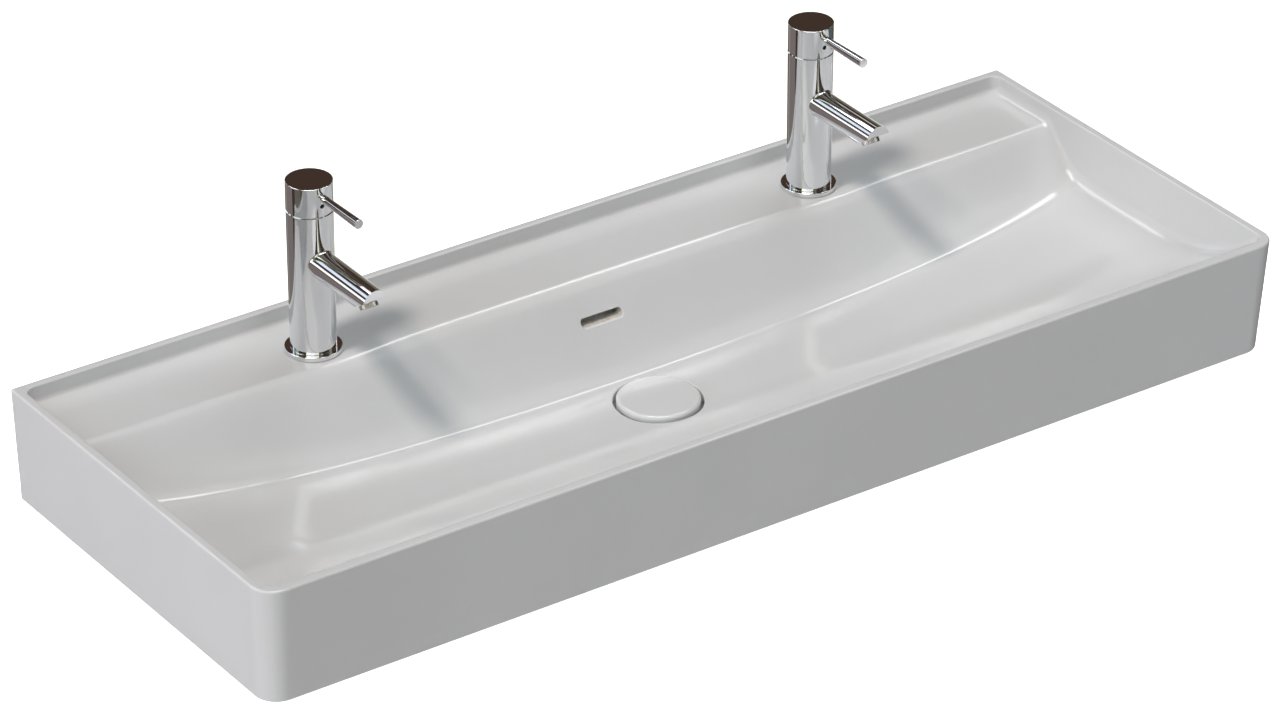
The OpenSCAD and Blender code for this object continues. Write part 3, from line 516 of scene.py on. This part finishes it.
def drain_recess():
    """Round sinking for the cover, whose lip is a quarter round that follows the floor where it lies."""
    a = np.linspace(0, 2 * np.pi, 144, endpoint=False)
    turn = np.radians(np.linspace(0, 80, 7))
    radii = np.concatenate([recess_r + recess_lip * (1 - np.cos(turn)), [recess_r + recess_lip + 0.6]])
    sink = np.concatenate([recess_lip * (np.sin(turn) - 1), [0.12]])
    rings = []
    for c in np.radians(np.linspace(90, 0, 5)):
        r, z = recess_r - recess_corner_r * (1 - np.cos(c)), recess_z + recess_corner_r * (1 - np.sin(c))
        rings.append(np.column_stack([r * np.cos(a), -drain_d + r * np.sin(a), np.full(len(a), z)]))
    for r, s in zip(radii, sink):
        x, y = r * np.cos(a), -drain_d + r * np.sin(a)
        rings.append(np.column_stack([x, y, bowl_height(x, -y) + s]))
    rings.append(np.column_stack([rings[-1][:, :2], np.full(len(a), 20.0)]))
    return ring_solid("recess", rings)


def overflow_slot():
    """Rounded slot driven level into the slope, with a lip that is a curve of the second degree."""
    a = np.linspace(0, 2 * np.pi, 64, endpoint=False) + np.pi / 64
    nx, nz, end = np.cos(a), np.sin(a), slot_w / 2 - slot_h / 2

    def on_slope(grow):
        x, z = np.sign(nx) * end + nx * (slot_h / 2 + grow), slot_z + nz * (slot_h / 2 + grow)
        low, high = np.full(len(a), crest_d), np.full(len(a), foot_d - 4)
        for _ in range(40):
            mid = (low + high) / 2
            above = bowl_height(x, mid) > z
            low, high = np.where(above, mid, low), np.where(above, high, mid)
        return np.column_stack([x, -low, z])

    wide, line, bare = on_slope(slot_lip), on_slope(0.0), on_slope(slot_lip + 0.6)
    inward = line + np.array([0, slot_lip, 0])
    lift = np.array([0, -0.1, 0.1])
    rings = [bare + lift + np.array([0, -25.0, 0]), bare + lift]
    rings += [wide * (1 - s) ** 2 + 2 * line * s * (1 - s) + inward * s ** 2 for s in np.linspace(0, 1, 7)]
    depth = -(slope_place(slot_z) - duct_skin - duct_gap / 2)
    rings.append(np.column_stack([line[:, 0], np.full(len(a), depth), line[:, 2]]))
    return ring_solid("slot", rings)


def drift(tree, scale, detail):
    """Noise over the piece's own Object coordinates."""
    node = tree.nodes.new("ShaderNodeTexNoise")
    node.inputs["Scale"].default_value, node.inputs["Detail"].default_value = scale, detail
    tree.links.new(tree.nodes.new("ShaderNodeTexCoord").outputs["Object"], node.inputs["Vector"])
    return node.outputs["Fac"]


def two_tones(tree, source, span, low, high):
    """Colour that goes from low to high as the source crosses the span."""
    node = tree.nodes.new("ShaderNodeValToRGB")
    ends = node.color_ramp.elements
    ends[0].position, ends[1].position = span
    ends[0].color, ends[1].color = (*low, 1), (*high, 1)
    tree.links.new(source, node.inputs["Fac"])
    return node.outputs["Color"]


def add_bump(tree, shader, source, strength, depth):
    """Relief that follows the source, with its depth in metres."""
    node = tree.nodes.new("ShaderNodeBump")
    node.inputs["Strength"].default_value, node.inputs["Distance"].default_value = strength, depth
    tree.links.new(source, node.inputs["Height"])
    tree.links.new(node.outputs["Normal"], shader.inputs["Normal"])


def fireclay_glaze():
    """White glaze: colour and gloss drift a little over the casting, and its surface waves very faintly."""
    mat, tree, shader = new_material("white_fireclay_glaze")
    tone = two_tones(tree, drift(tree, 7.0, 2.0), (0.3, 0.7), (0.69, 0.69, 0.685), (0.71, 0.71, 0.705))
    gloss = two_tones(tree, drift(tree, 11.0, 3.0), (0.3, 0.7), (0.12,) * 3, (0.15,) * 3)
    tree.links.new(tone, shader.inputs["Base Color"])
    tree.links.new(gloss, shader.inputs["Roughness"])
    add_bump(tree, shader, drift(tree, 24.0, 1.0), 0.03, 0.001)
    shader.inputs["IOR"].default_value = 1.52
    return mat


def bare_fireclay():
    """Unglazed fired clay: cream, dull, with fine grog and small pits."""
    mat, tree, shader = new_material("bare_fireclay")
    grog = drift(tree, 260.0, 6.0)
    tone = two_tones(tree, grog, (0.35, 0.62), (0.5, 0.46, 0.4), (0.68, 0.65, 0.59))
    tree.links.new(tone, shader.inputs["Base Color"])
    add_bump(tree, shader, grog, 0.4, 0.0006)
    shader.inputs["Roughness"].default_value = 0.85
    return mat


glaze, clay = fireclay_glaze(), bare_fireclay()
skin, rim_line, rim_out = inner_skin()
rings = rim_and_walls(around(skin), around(rim_line), around(rim_out))
basin = mesh_piece("trough_basin", *walled_solid(skin, rings), (glaze, clay))
hollow = hollow_underside()
bosses = [round_prism("bolt_boss", (s * bolt_x, 0.0), boss_r, -boss_depth, past, "Y") for s in (-1, 1)]
drain_boss = round_prism("drain_boss", (0.0, -drain_d), drain_boss_r, tool_low, tool_top)
duct_clay = block_across("duct_clay", duct_w + 2 * duct_wall, duct_outline(
    slope_shift / 2, duct_skin + duct_gap + duct_wall, slot_z + slot_h + duct_wall, tool_low,
    drain_z - clay_t / 2, drain_d))
carve(hollow, bosses + [drain_boss, duct_clay])
bolt_holes = [round_prism("bolt_hole", (s * bolt_x, 0.0), bolt_r, -boss_depth - past, past, "Y", 64)
              for s in (-1, 1)]
tap_holes = [round_prism("tap_hole", (s * tap_x, -tap_d), tap_hole_r, tool_low, tool_top) for s in (-1, 1)]
tap_seats = [round_prism("tap_seat", (s * tap_x, -tap_d), tap_seat_r, tool_low, ledge_z - clay_t)
             for s in (-1, 1)]
drain_hole = round_prism("drain_hole", (0.0, -drain_d), drain_r, tool_low, 0.0)
duct = block_across("duct", duct_w, duct_outline(
    duct_skin, duct_skin + duct_gap, slot_z + slot_h, duct_foot, duct_foot + duct_h, drain_d - drain_r + 3))
carve(basin, bolt_holes + tap_holes + tap_seats + [hollow, drain_recess(), drain_hole, duct, overflow_slot()])


def bare_faces(mesh):
    """1 for faces of the foot and the hollow underside, which the glaze leaves bare, else 0."""
    centre = np.zeros(len(mesh.polygons) * 3)
    mesh.polygons.foreach_get("center", centre)
    x, y, z = centre.reshape(-1, 3).T / MM
    within = (np.abs(x) < skirt_x + 0.1) & (-y > skirt_t - 0.1) & (-y < skirt_front + 0.1)
    under_bowl = within & (z < bowl_height(x, -y) - clay_t / 2) & (np.hypot(x, y + drain_d) > recess_r + 1)
    return ((z < under_z + 0.9) | under_bowl).astype(np.int32)


basin.data.polygons.foreach_set("material_index", bare_faces(basin.data))
flatter_flats(basin)
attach(basin, "sink")
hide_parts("basin")


# Mixer bodies: column and spout in one brass casting, machined, polished and chromed. The spout grows out of
# the column through a small rolled fillet; its end is cut upright above and at a slant below for the aerator.
# The bore from the top takes the cartridge, and hoses and a stud screw into the shank below the ledge.
ring_h, foot_r, head_r, joint_h, head_chamfer, foot_round = 5.0, 23.2, 23.6, 156.8, 1.2, 0.4
shank_r, shank_h, bore_r, bore_depth = 16.9, 9.0, 18.0, 46.0
spout_h, spout_reach, root_r, tip_r, root_fillet = 103.0, 116.5, 14.8, 14.2, 2.2
window_half, window_rows, window_cols, column_sides = 24.0, 42, 21, 128
cut_h, cut_slant, aerator_r, aerator_s, aerator_depth = 4.1, math.radians(33.0), 9.5, 17.0, 7.0
inlet_r, inlet_x, inlet_y, inlet_len = 4.5, 9.5, -5.0, 14.0
stud_r, stud_y, stud_in, drill_past = 4.0, 10.0, 12.0, 3.0


def column_radius(z):
    """The column swells evenly from its foot to its head."""
    return foot_r + (head_r - foot_r) * (z - ring_h) / (joint_h - ring_h)


def cut_frame():
    """Middle of the cut's upper end, the direction down along the cut, and the direction out of it."""
    origin = np.array([0.0, -spout_reach, spout_h + cut_h])
    along = np.array([0.0, math.cos(cut_slant), -math.sin(cut_slant)])
    return origin, along, np.array([0.0, -math.sin(cut_slant), -math.cos(cut_slant)])


def column_rows():
    """Profile of the column from the shank's underside to the floor of the bore, as radii and heights."""
    window = np.linspace(spout_h - window_half, spout_h + window_half, window_rows + 1)
    wall_z = np.concatenate([[ring_h + 0.6, 14, 30, 50, 66], window,
                             [136, 148, joint_h - head_chamfer - 0.6]])
    turn = np.radians([0, 30, 60, 90])
    foot = np.column_stack([column_radius(ring_h) - foot_round * (1 - np.sin(turn)),
                            ring_h + foot_round * (1 - np.cos(turn))])
    low = [(shank_r, -shank_h), (shank_r, ring_h - 0.01), (shank_r, ring_h)]
    top = [(head_r, joint_h - head_chamfer), (head_r - head_chamfer, joint_h), (bore_r + 0.6, joint_h),
           (bore_r, joint_h - 0.6), (bore_r, joint_h - bore_depth)]
    return np.vstack([low, foot, np.column_stack([column_radius(wall_z), wall_z]), top])


def spout_and_root(edge_turn, edge_z):
    """Rings from a window in the column, across a ball-rolled fillet, and along the spout to its end.

    The ball's centre keeps its own radius b from both cylinders, of radius r and R:
    c = ((r + b) cos p, -sqrt((R + b)^2 - x^2), height + (r + b) sin p).
    Each ring point is on the arc between the directions from that centre to the two axes.
    """
    p = np.arctan2(edge_z - spout_h, column_radius(edge_z) * edge_turn)
    corner = math.asin(cut_h / tip_r)
    for target in (corner, np.pi - corner):
        p[np.argmin(np.abs(p - target))] = target
    near_r = root_r - (root_r - tip_r) * (head_r + root_fillet) / spout_reach
    cx, cz = (near_r + root_fillet) * np.cos(p), spout_h + (near_r + root_fillet) * np.sin(p)
    rc = column_radius(cz)
    centre = np.column_stack([cx, -np.sqrt((rc + root_fillet) ** 2 - cx ** 2), cz])
    to_spout = np.column_stack([-np.cos(p), np.zeros(len(p)), -np.sin(p)])
    to_column = -np.column_stack([centre[:, :2], np.zeros(len(p))]) / (rc + root_fillet)[:, None]
    angle = np.arccos(np.sum(to_spout * to_column, axis=1))[:, None]

    def arc(t):
        mix = to_column * np.sin((1 - t) * angle) + to_spout * np.sin(t * angle)
        return centre + root_fillet * mix / np.sin(angle)

    contact = arc(0.0)
    contact_turn = np.arctan2(contact[:, 0], -contact[:, 1])
    rings = []
    for t in np.linspace(0, 1, 9)[1:]:
        turn, z = edge_turn + (contact_turn - edge_turn) * t, edge_z + (contact[:, 2] - edge_z) * t
        rings.append(np.column_stack([column_radius(z) * np.sin(turn), -column_radius(z) * np.cos(turn), z]))
    rings += [arc(t) for t in np.linspace(0, 1, 9)[1:]]
    start = rings[-1]
    end_y, end_r = np.full(len(p), -spout_reach), np.full(len(p), tip_r)
    for _ in range(4):
        drop = np.maximum(0, cut_h - end_r * np.sin(p))
        end_y = -spout_reach + drop / math.tan(cut_slant)
        end_r = tip_r + (near_r - tip_r) * (end_y + spout_reach) / (spout_reach + start[:, 1])
    end = np.column_stack([end_r * np.cos(p), end_y, spout_h + end_r * np.sin(p)])
    rings += [start + (end - start) * s for s in (0.02, 0.2, 0.4, 0.6, 0.8, 0.985, 1.0)]
    return rings, p, corner


def spout_end(points, first, p, corner):
    """Upright half moon above the cut, and the cut itself as rings from its edge to the aerator's socket."""
    order = np.argsort(np.mod(p - corner, 2 * np.pi))
    above = [first + i for i in order if np.mod(p[i] - corner, 2 * np.pi) <= np.pi - 2 * corner + 1e-9]
    below = [first + i for i in order if first + i not in above]
    left, right = above[-1], above[0]
    chord = points[left] + (points[right] - points[left]) * np.linspace(0, 1, 18)[1:-1, None]
    bar = list(range(len(points), len(points) + len(chord)))
    loop = below + [right] + bar[::-1] + [left]
    points = np.vstack([points, chord])
    origin, along, out = cut_frame()
    hub = origin + along * aerator_s
    rim = points[loop]
    turn = np.arctan2((rim - hub) @ along, rim[:, 0] - hub[0])
    socket = hub + aerator_r * (np.cos(turn)[:, None] * np.array([1.0, 0, 0]) + np.sin(turn)[:, None] * along)
    rings = [rim + (socket - rim) * s for s in (0.15, 0.85)]
    rings += [socket, socket - out * 0.3, socket - out * aerator_depth]
    loops, quads = carried_on(loop, len(points), len(rings))
    return np.vstack([points] + rings), [above + bar] + quads + [loops[-1].tolist()]


def mixer_body_mesh():
    """Column as a turned grid with a window for the spout, filled by the spout's rings."""
    n, middle = column_sides, column_sides // 2
    rows = column_rows()
    turn = (np.arange(n) - middle) * 2 * np.pi / n
    r, z = rows[:, :1], rows[:, 1:]
    points = np.stack([r * np.sin(turn), -r * np.cos(turn), z + 0 * turn], -1).reshape(-1, 3)
    index = np.arange(len(rows) * n).reshape(len(rows), n)
    low = int(np.argmin(np.abs(rows[:, 1] - (spout_h - window_half)) + 99 * (rows[:, 0] < foot_r)))
    high, left, right = low + window_rows, middle - window_cols, middle + window_cols
    quads = grid_faces(len(rows), n, close_m=True)
    row, col = quads[:, 0] // n, quads[:, 0] % n
    window = (row >= low) & (row < high) & (col >= left) & (col < right)
    faces = quads[~window].tolist() + [index[0].tolist(), index[-1].tolist()]
    cols = np.arange(left, right)
    edge = np.concatenate([index[low, cols], index[low:high, right], index[high, cols[::-1] + 1],
                           index[high:low:-1, left]])
    rings, p, corner = spout_and_root(turn[edge % n], rows[edge // n, 1])
    loops, spout_faces = carried_on(edge, len(points), len(rings))
    points, end_faces = spout_end(np.vstack([points] + rings), int(loops[-1, 0]), p, corner)
    return points, faces + spout_faces + end_faces


def polished_chrome():
    """Chrome plate: bright, faintly uneven in gloss, with polishing marks too fine to see one by one."""
    mat, tree, shader = new_material("polished_chrome")
    gloss = tree.nodes.new("ShaderNodeMapRange")
    gloss.inputs["From Min"].default_value, gloss.inputs["From Max"].default_value = 0.3, 0.7
    gloss.inputs["To Min"].default_value, gloss.inputs["To Max"].default_value = 0.035, 0.075
    tree.links.new(drift(tree, 90.0, 4.0), gloss.inputs["Value"])
    tree.links.new(gloss.outputs["Result"], shader.inputs["Roughness"])
    shader.inputs["Base Color"].default_value = (0.80, 0.81, 0.83, 1)
    shader.inputs["Metallic"].default_value = 1.0
    return mat


def at_tap(points, side):
    """Tap coordinates, from the ledge and the column's axis, brought to the basin's frame."""
    return np.asarray(points, float) + np.array([side * tap_x, -tap_d, ledge_z])


def soften_edges(piece, width):
    """Small round along every edge sharper than 35 degrees."""
    edge = piece.modifiers.new("edges", "BEVEL")
    edge.width, edge.segments, edge.limit_method = width * MM, 2, "ANGLE"
    edge.angle_limit = math.radians(35.0)
    apply_modifiers(piece)


chrome = polished_chrome()
body_points, body_faces = mixer_body_mesh()
foot_z = ledge_z - shank_h
drills = [(s * inlet_x, inlet_y, inlet_r, inlet_len) for s in (-1, 1)] + [(0.0, stud_y, stud_r, stud_in)]
sides = {"left": -1, "right": 1}
for name, side in sides.items():
    body = mesh_piece(name + "_column_and_spout", at_tap(body_points, side), body_faces, (chrome,))
    soften_edges(body, 0.3)
    carve(body, [round_prism("drill", (side * tap_x + x, -tap_d + y), r, foot_z - drill_past,
                             foot_z + deep, n=48) for x, y, r, deep in drills])
    flatter_flats(body)
    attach(body, "sink")
    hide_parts(name + "_mixer_body")


# Handles: a solid chromed cap on the cartridge's stem, with a pin lever screwed in at its front.
# The underside of the cap is hollowed and relieved behind, so that it can tip back on its pin.
cap_gap, cap_h, cap_edge, cap_cavity_r, cap_cavity_h = 0.4, 31.0, 0.5, 19.5, 8.0
post_hole_r, post_hole_h, lift_back, relief = 4.1, 17.1, 10.0, math.radians(22.0)
lever_h, lever_reach, lever_in, neck_r, lever_root_r, lever_tip_r = 21.0, 90.0, 12.0, 2.5, 4.0, 5.0
neck_len, lever_break, screw_h, screw_r, drill_front = 1.2, 0.5, 11.4, 2.4, 40.0
wedge_half, wedge_deep = 40.0, 60.0


def rounded_profile(corners, steps=5):
    """Points of an outline whose corners (a, b, radius) are replaced by arcs tangent to both sides."""
    flat = np.array([c[:2] for c in corners], float)
    rows = []
    for i, (a, b, r) in enumerate(corners):
        here = flat[i]
        if not r:
            rows.append(here[None])
            continue
        back, on = flat[i - 1] - here, flat[(i + 1) % len(flat)] - here
        back, on = back / np.hypot(*back), on / np.hypot(*on)
        half = np.arccos(np.clip(back @ on, -1, 1)) / 2
        middle = here + (back + on) / np.linalg.norm(back + on) * r / np.sin(half)
        first, last = here + back * r / np.tan(half) - middle, here + on * r / np.tan(half) - middle
        whole = np.arccos(np.clip(first @ last / r ** 2, -1, 1))
        t = np.linspace(0, 1, steps + 1)[:, None]
        rows.append(middle + (first * np.sin((1 - t) * whole) + last * np.sin(t * whole)) / np.sin(whole))
    return np.vstack(rows)


def turned(profile, n, closed=False):
    """Solid of revolution about Z: a profile of (radius, height) from axis to axis, or a closed outline."""
    profile = np.asarray(profile, float)
    a = np.arange(n) * 2 * np.pi / n
    if closed:
        profile = np.vstack([profile, profile[:1]])
    r, z = profile[:, :1], profile[:, 1:]
    points = np.stack([r * np.cos(a), r * np.sin(a), z + 0 * a], -1).reshape(-1, 3)
    return points, grid_faces(len(profile), n, close_m=True).tolist()


def lying(points, height):
    """Turned solid laid along -Y at a height, so that its own height becomes the reach from the axis."""
    return np.column_stack([points[:, 0], -points[:, 2], points[:, 1] + height])


def at_joint(points, side):
    """Cap coordinates, from the joint line of the column and its axis, brought to the basin's frame."""
    return at_tap(np.asarray(points) + np.array([0, 0, joint_h]), side)


cap_points, cap_faces = turned(rounded_profile([
    (0, cap_h, 0), (head_r, cap_h, cap_edge), (head_r, cap_gap, 0.25), (cap_cavity_r, cap_gap, 0.25),
    (cap_cavity_r, cap_cavity_h, 0.8), (post_hole_r, cap_cavity_h, 0.2), (post_hole_r, post_hole_h, 0),
    (0, post_hole_h, 0)]), 160)
lever_points, lever_faces = turned(rounded_profile([
    (0, lever_in + 0.1, 0), (neck_r, lever_in + 0.1, 0.3), (neck_r, head_r + neck_len, 0.2),
    (lever_root_r, head_r + 2 * neck_len, 0.4), (lever_tip_r, lever_reach, lever_break),
    (0, lever_reach, 0)]), 64)
wedge = np.array([(x, y, z) for z in (-wedge_deep, 0) for x, y in (
    (-wedge_half, 0), (wedge_half, 0), (wedge_half, wedge_deep), (-wedge_half, wedge_deep))])
tilt = np.array(Matrix.Rotation(relief, 3, "X"))
wedge = wedge @ tilt.T + np.array([0, lift_back, cap_gap])
cap_foot = ledge_z + joint_h
for name, side in sides.items():
    cap = mesh_piece(name + "_cap", at_joint(cap_points, side), cap_faces, (chrome,))
    carve(cap, [ring_solid("relief", np.split(at_joint(wedge, side), 2)),
                round_prism("lever_hole", (side * tap_x, cap_foot + lever_h), neck_r, -tap_d - drill_front,
                            -tap_d - lever_in, "Y", 48),
                round_prism("screw_hole", (side * tap_x, cap_foot + screw_h), screw_r, -tap_d - drill_front,
                            -tap_d, "Y", 48)])
    lever = mesh_piece(name + "_pin_lever", at_joint(lying(lever_points, lever_h), side), lever_faces,
                       (chrome,))
    for piece, node in ((cap, "_handle_cap"), (lever, "_lever")):
        flatter_flats(piece)
        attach(piece, name + "_handle")
        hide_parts(name + node)


# Trim of the taps: a chromed base ring that hides the hole in the ledge, on a rubber seal, and at the spout's
# end a chromed aerator ring whose fluted edge gives fingers or a key a grip.
ring_r, ring_low, ring_in, seal_r, seal_t = 28.8, 0.6, 17.0, 25.8, 2.0
flutes, flute_depth, aerator_out, insert_r, free = 36, 0.5, 5.4, 7.9, 0.05


def fluted_ring():
    """Short tube whose outside is scalloped by the square of a sine above its seat, in tap coordinates."""
    n = flutes * 8
    a = np.arange(n) * 2 * np.pi / n
    outside, top = aerator_r - free, aerator_depth + aerator_out
    levels = [(0.0, outside, 0), (aerator_depth + 0.2, outside, 0), (aerator_depth + 0.5, outside, 0.5),
              (aerator_depth + 0.8, outside, 1), (top - 0.7, outside, 1), (top - 0.3, outside - 0.15, 0.7),
              (top, outside - 0.5, 0), (top, insert_r + 0.3, 0), (top - 0.3, insert_r, 0), (0.0, insert_r, 0)]
    scallop = flute_depth * np.sin(a * flutes / 2) ** 2
    loops = []
    for h, r, cut in levels + levels[:1]:
        width = r - cut * scallop
        loops.append(np.column_stack([width * np.cos(a), width * np.sin(a), np.full(n, h)]))
    local = np.concatenate(loops)
    origin, along, out = cut_frame()
    seat = origin + along * aerator_s - out * aerator_depth
    return (seat + local[:, :1] * np.array([1.0, 0, 0]) + local[:, 1:2] * along + local[:, 2:] * out,
            grid_faces(len(loops), n, close_m=True).tolist())


ring_points, ring_faces = turned(rounded_profile([
    (ring_in, ring_h, 0.2), (ring_r, ring_h, 0.5), (ring_r, ring_low, 0.3), (seal_r, ring_low, 0.1),
    (seal_r, seal_t, 0.1), (ring_in, seal_t, 0.1)], 4), 160, closed=True)
flute_points, flute_faces = fluted_ring()
for name, side in sides.items():
    base_ring = mesh_piece(name + "_rosette", at_tap(ring_points, side), ring_faces, (chrome,))
    aerator = mesh_piece(name + "_fluted_ring", at_tap(flute_points, side), flute_faces, (chrome,), 40.0)
    for piece, node in ((base_ring, "_base_ring"), (aerator, "_aerator_ring")):
        flatter_flats(piece)
        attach(piece, "sink")
        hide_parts(name + node)


# Drain cover: a ceramic disc glazed like the basin, slightly crowned, with a full round edge.
# It stands proud of its recess and goes down when pressed; a hollow below takes its seal and carrier.
cover_r, cover_t, cover_up, cover_edge_r, crown = 42.5, 8.0, 5.0, 4.0, 0.35
cover_low, hollow_r, hollow_h = drain_z + cover_up - cover_t, 36.5, 3.0
flat_r = cover_r - cover_edge_r
crown_r = np.linspace(0, flat_r, 12)
edge_turn = np.radians(np.linspace(90, 0, 13))
cover_top = np.column_stack([crown_r, cover_t - crown * (crown_r / flat_r) ** 2])
cover_edge = np.column_stack([flat_r + cover_edge_r * np.cos(edge_turn),
                              cover_t - cover_edge_r + (cover_edge_r - crown) * np.sin(edge_turn)])
cover_under = rounded_profile([(cover_r, cover_t - cover_edge_r, 0), (cover_r, 0, 0.8), (hollow_r, 0, 0.6),
                               (hollow_r, hollow_h, 0.6), (0, hollow_h, 0)])
cover_points, cover_faces = turned(np.vstack([cover_top, cover_edge[1:], cover_under[1:]]), 160)
cover = mesh_piece("drain_cover", cover_points + np.array([0, -drain_d, cover_low]), cover_faces, (glaze,))
flatter_flats(cover)
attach(cover, "cover")
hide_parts("cover")


# Fittings that stay as the solids made them: rubber seals, brass nuts, steel studs and washers, the plastic
# cartridge and aerator insert, and the chromed waste. Each gets the finish that its stock has.
def stock_finish(name, colour, other, metal, rough, grain, bump):
    """Finish whose colour drifts to another with fine noise, with a bump of the same grain."""
    mat, tree, shader = new_material(name)
    fine = drift(tree, grain, 5.0)
    tree.links.new(two_tones(tree, fine, (0.35, 0.65), colour, other), shader.inputs["Base Color"])
    add_bump(tree, shader, fine, bump, 0.0002)
    shader.inputs["Metallic"].default_value, shader.inputs["Roughness"].default_value = metal, rough
    return mat


rubber = stock_finish("seal_rubber", (0.035, 0.035, 0.036), (0.05, 0.05, 0.05), 0.0, 0.62, 900.0, 0.25)
brass = stock_finish("turned_brass", (0.62, 0.44, 0.2), (0.72, 0.53, 0.27), 1.0, 0.28, 700.0, 0.12)
steel = stock_finish("bright_steel", (0.48, 0.48, 0.47), (0.6, 0.6, 0.59), 1.0, 0.3, 800.0, 0.15)
black_steel = stock_finish("blackened_steel", (0.02, 0.02, 0.021), (0.035, 0.034, 0.033),
                           0.6, 0.4, 900.0, 0.15)
cartridge_plastic = stock_finish("cartridge_plastic", (0.6, 0.57, 0.49), (0.66, 0.63, 0.55),
                                 0.0, 0.42, 500.0, 0.1)
insert_plastic = stock_finish("insert_plastic", (0.34, 0.35, 0.36), (0.42, 0.43, 0.44), 0.0, 0.35, 600.0, 0.1)
finishes = {"mounting_studs": steel, "clamp_rubbers": rubber, "clamp_washers": steel, "stud_nuts": brass,
            "waste_top_gasket": rubber, "waste_flange": chrome, "waste_click_body": brass,
            "waste_bottom_gasket": rubber, "waste_nut": chrome, "cover_seal": rubber, "cover_stem": steel}
for name in sides:
    finishes.update({name + "_" + part: mat for part, mat in (
        ("base_seal", rubber), ("aerator_insert", insert_plastic), ("cartridge", cartridge_plastic),
        ("cartridge_nut", brass), ("turret", cartridge_plastic), ("lift_pin", steel), ("stem", brass),
        ("set_screw", black_steel))})
for node, mat in finishes.items():
    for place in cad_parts[node].material_slots:
        place.material = mat
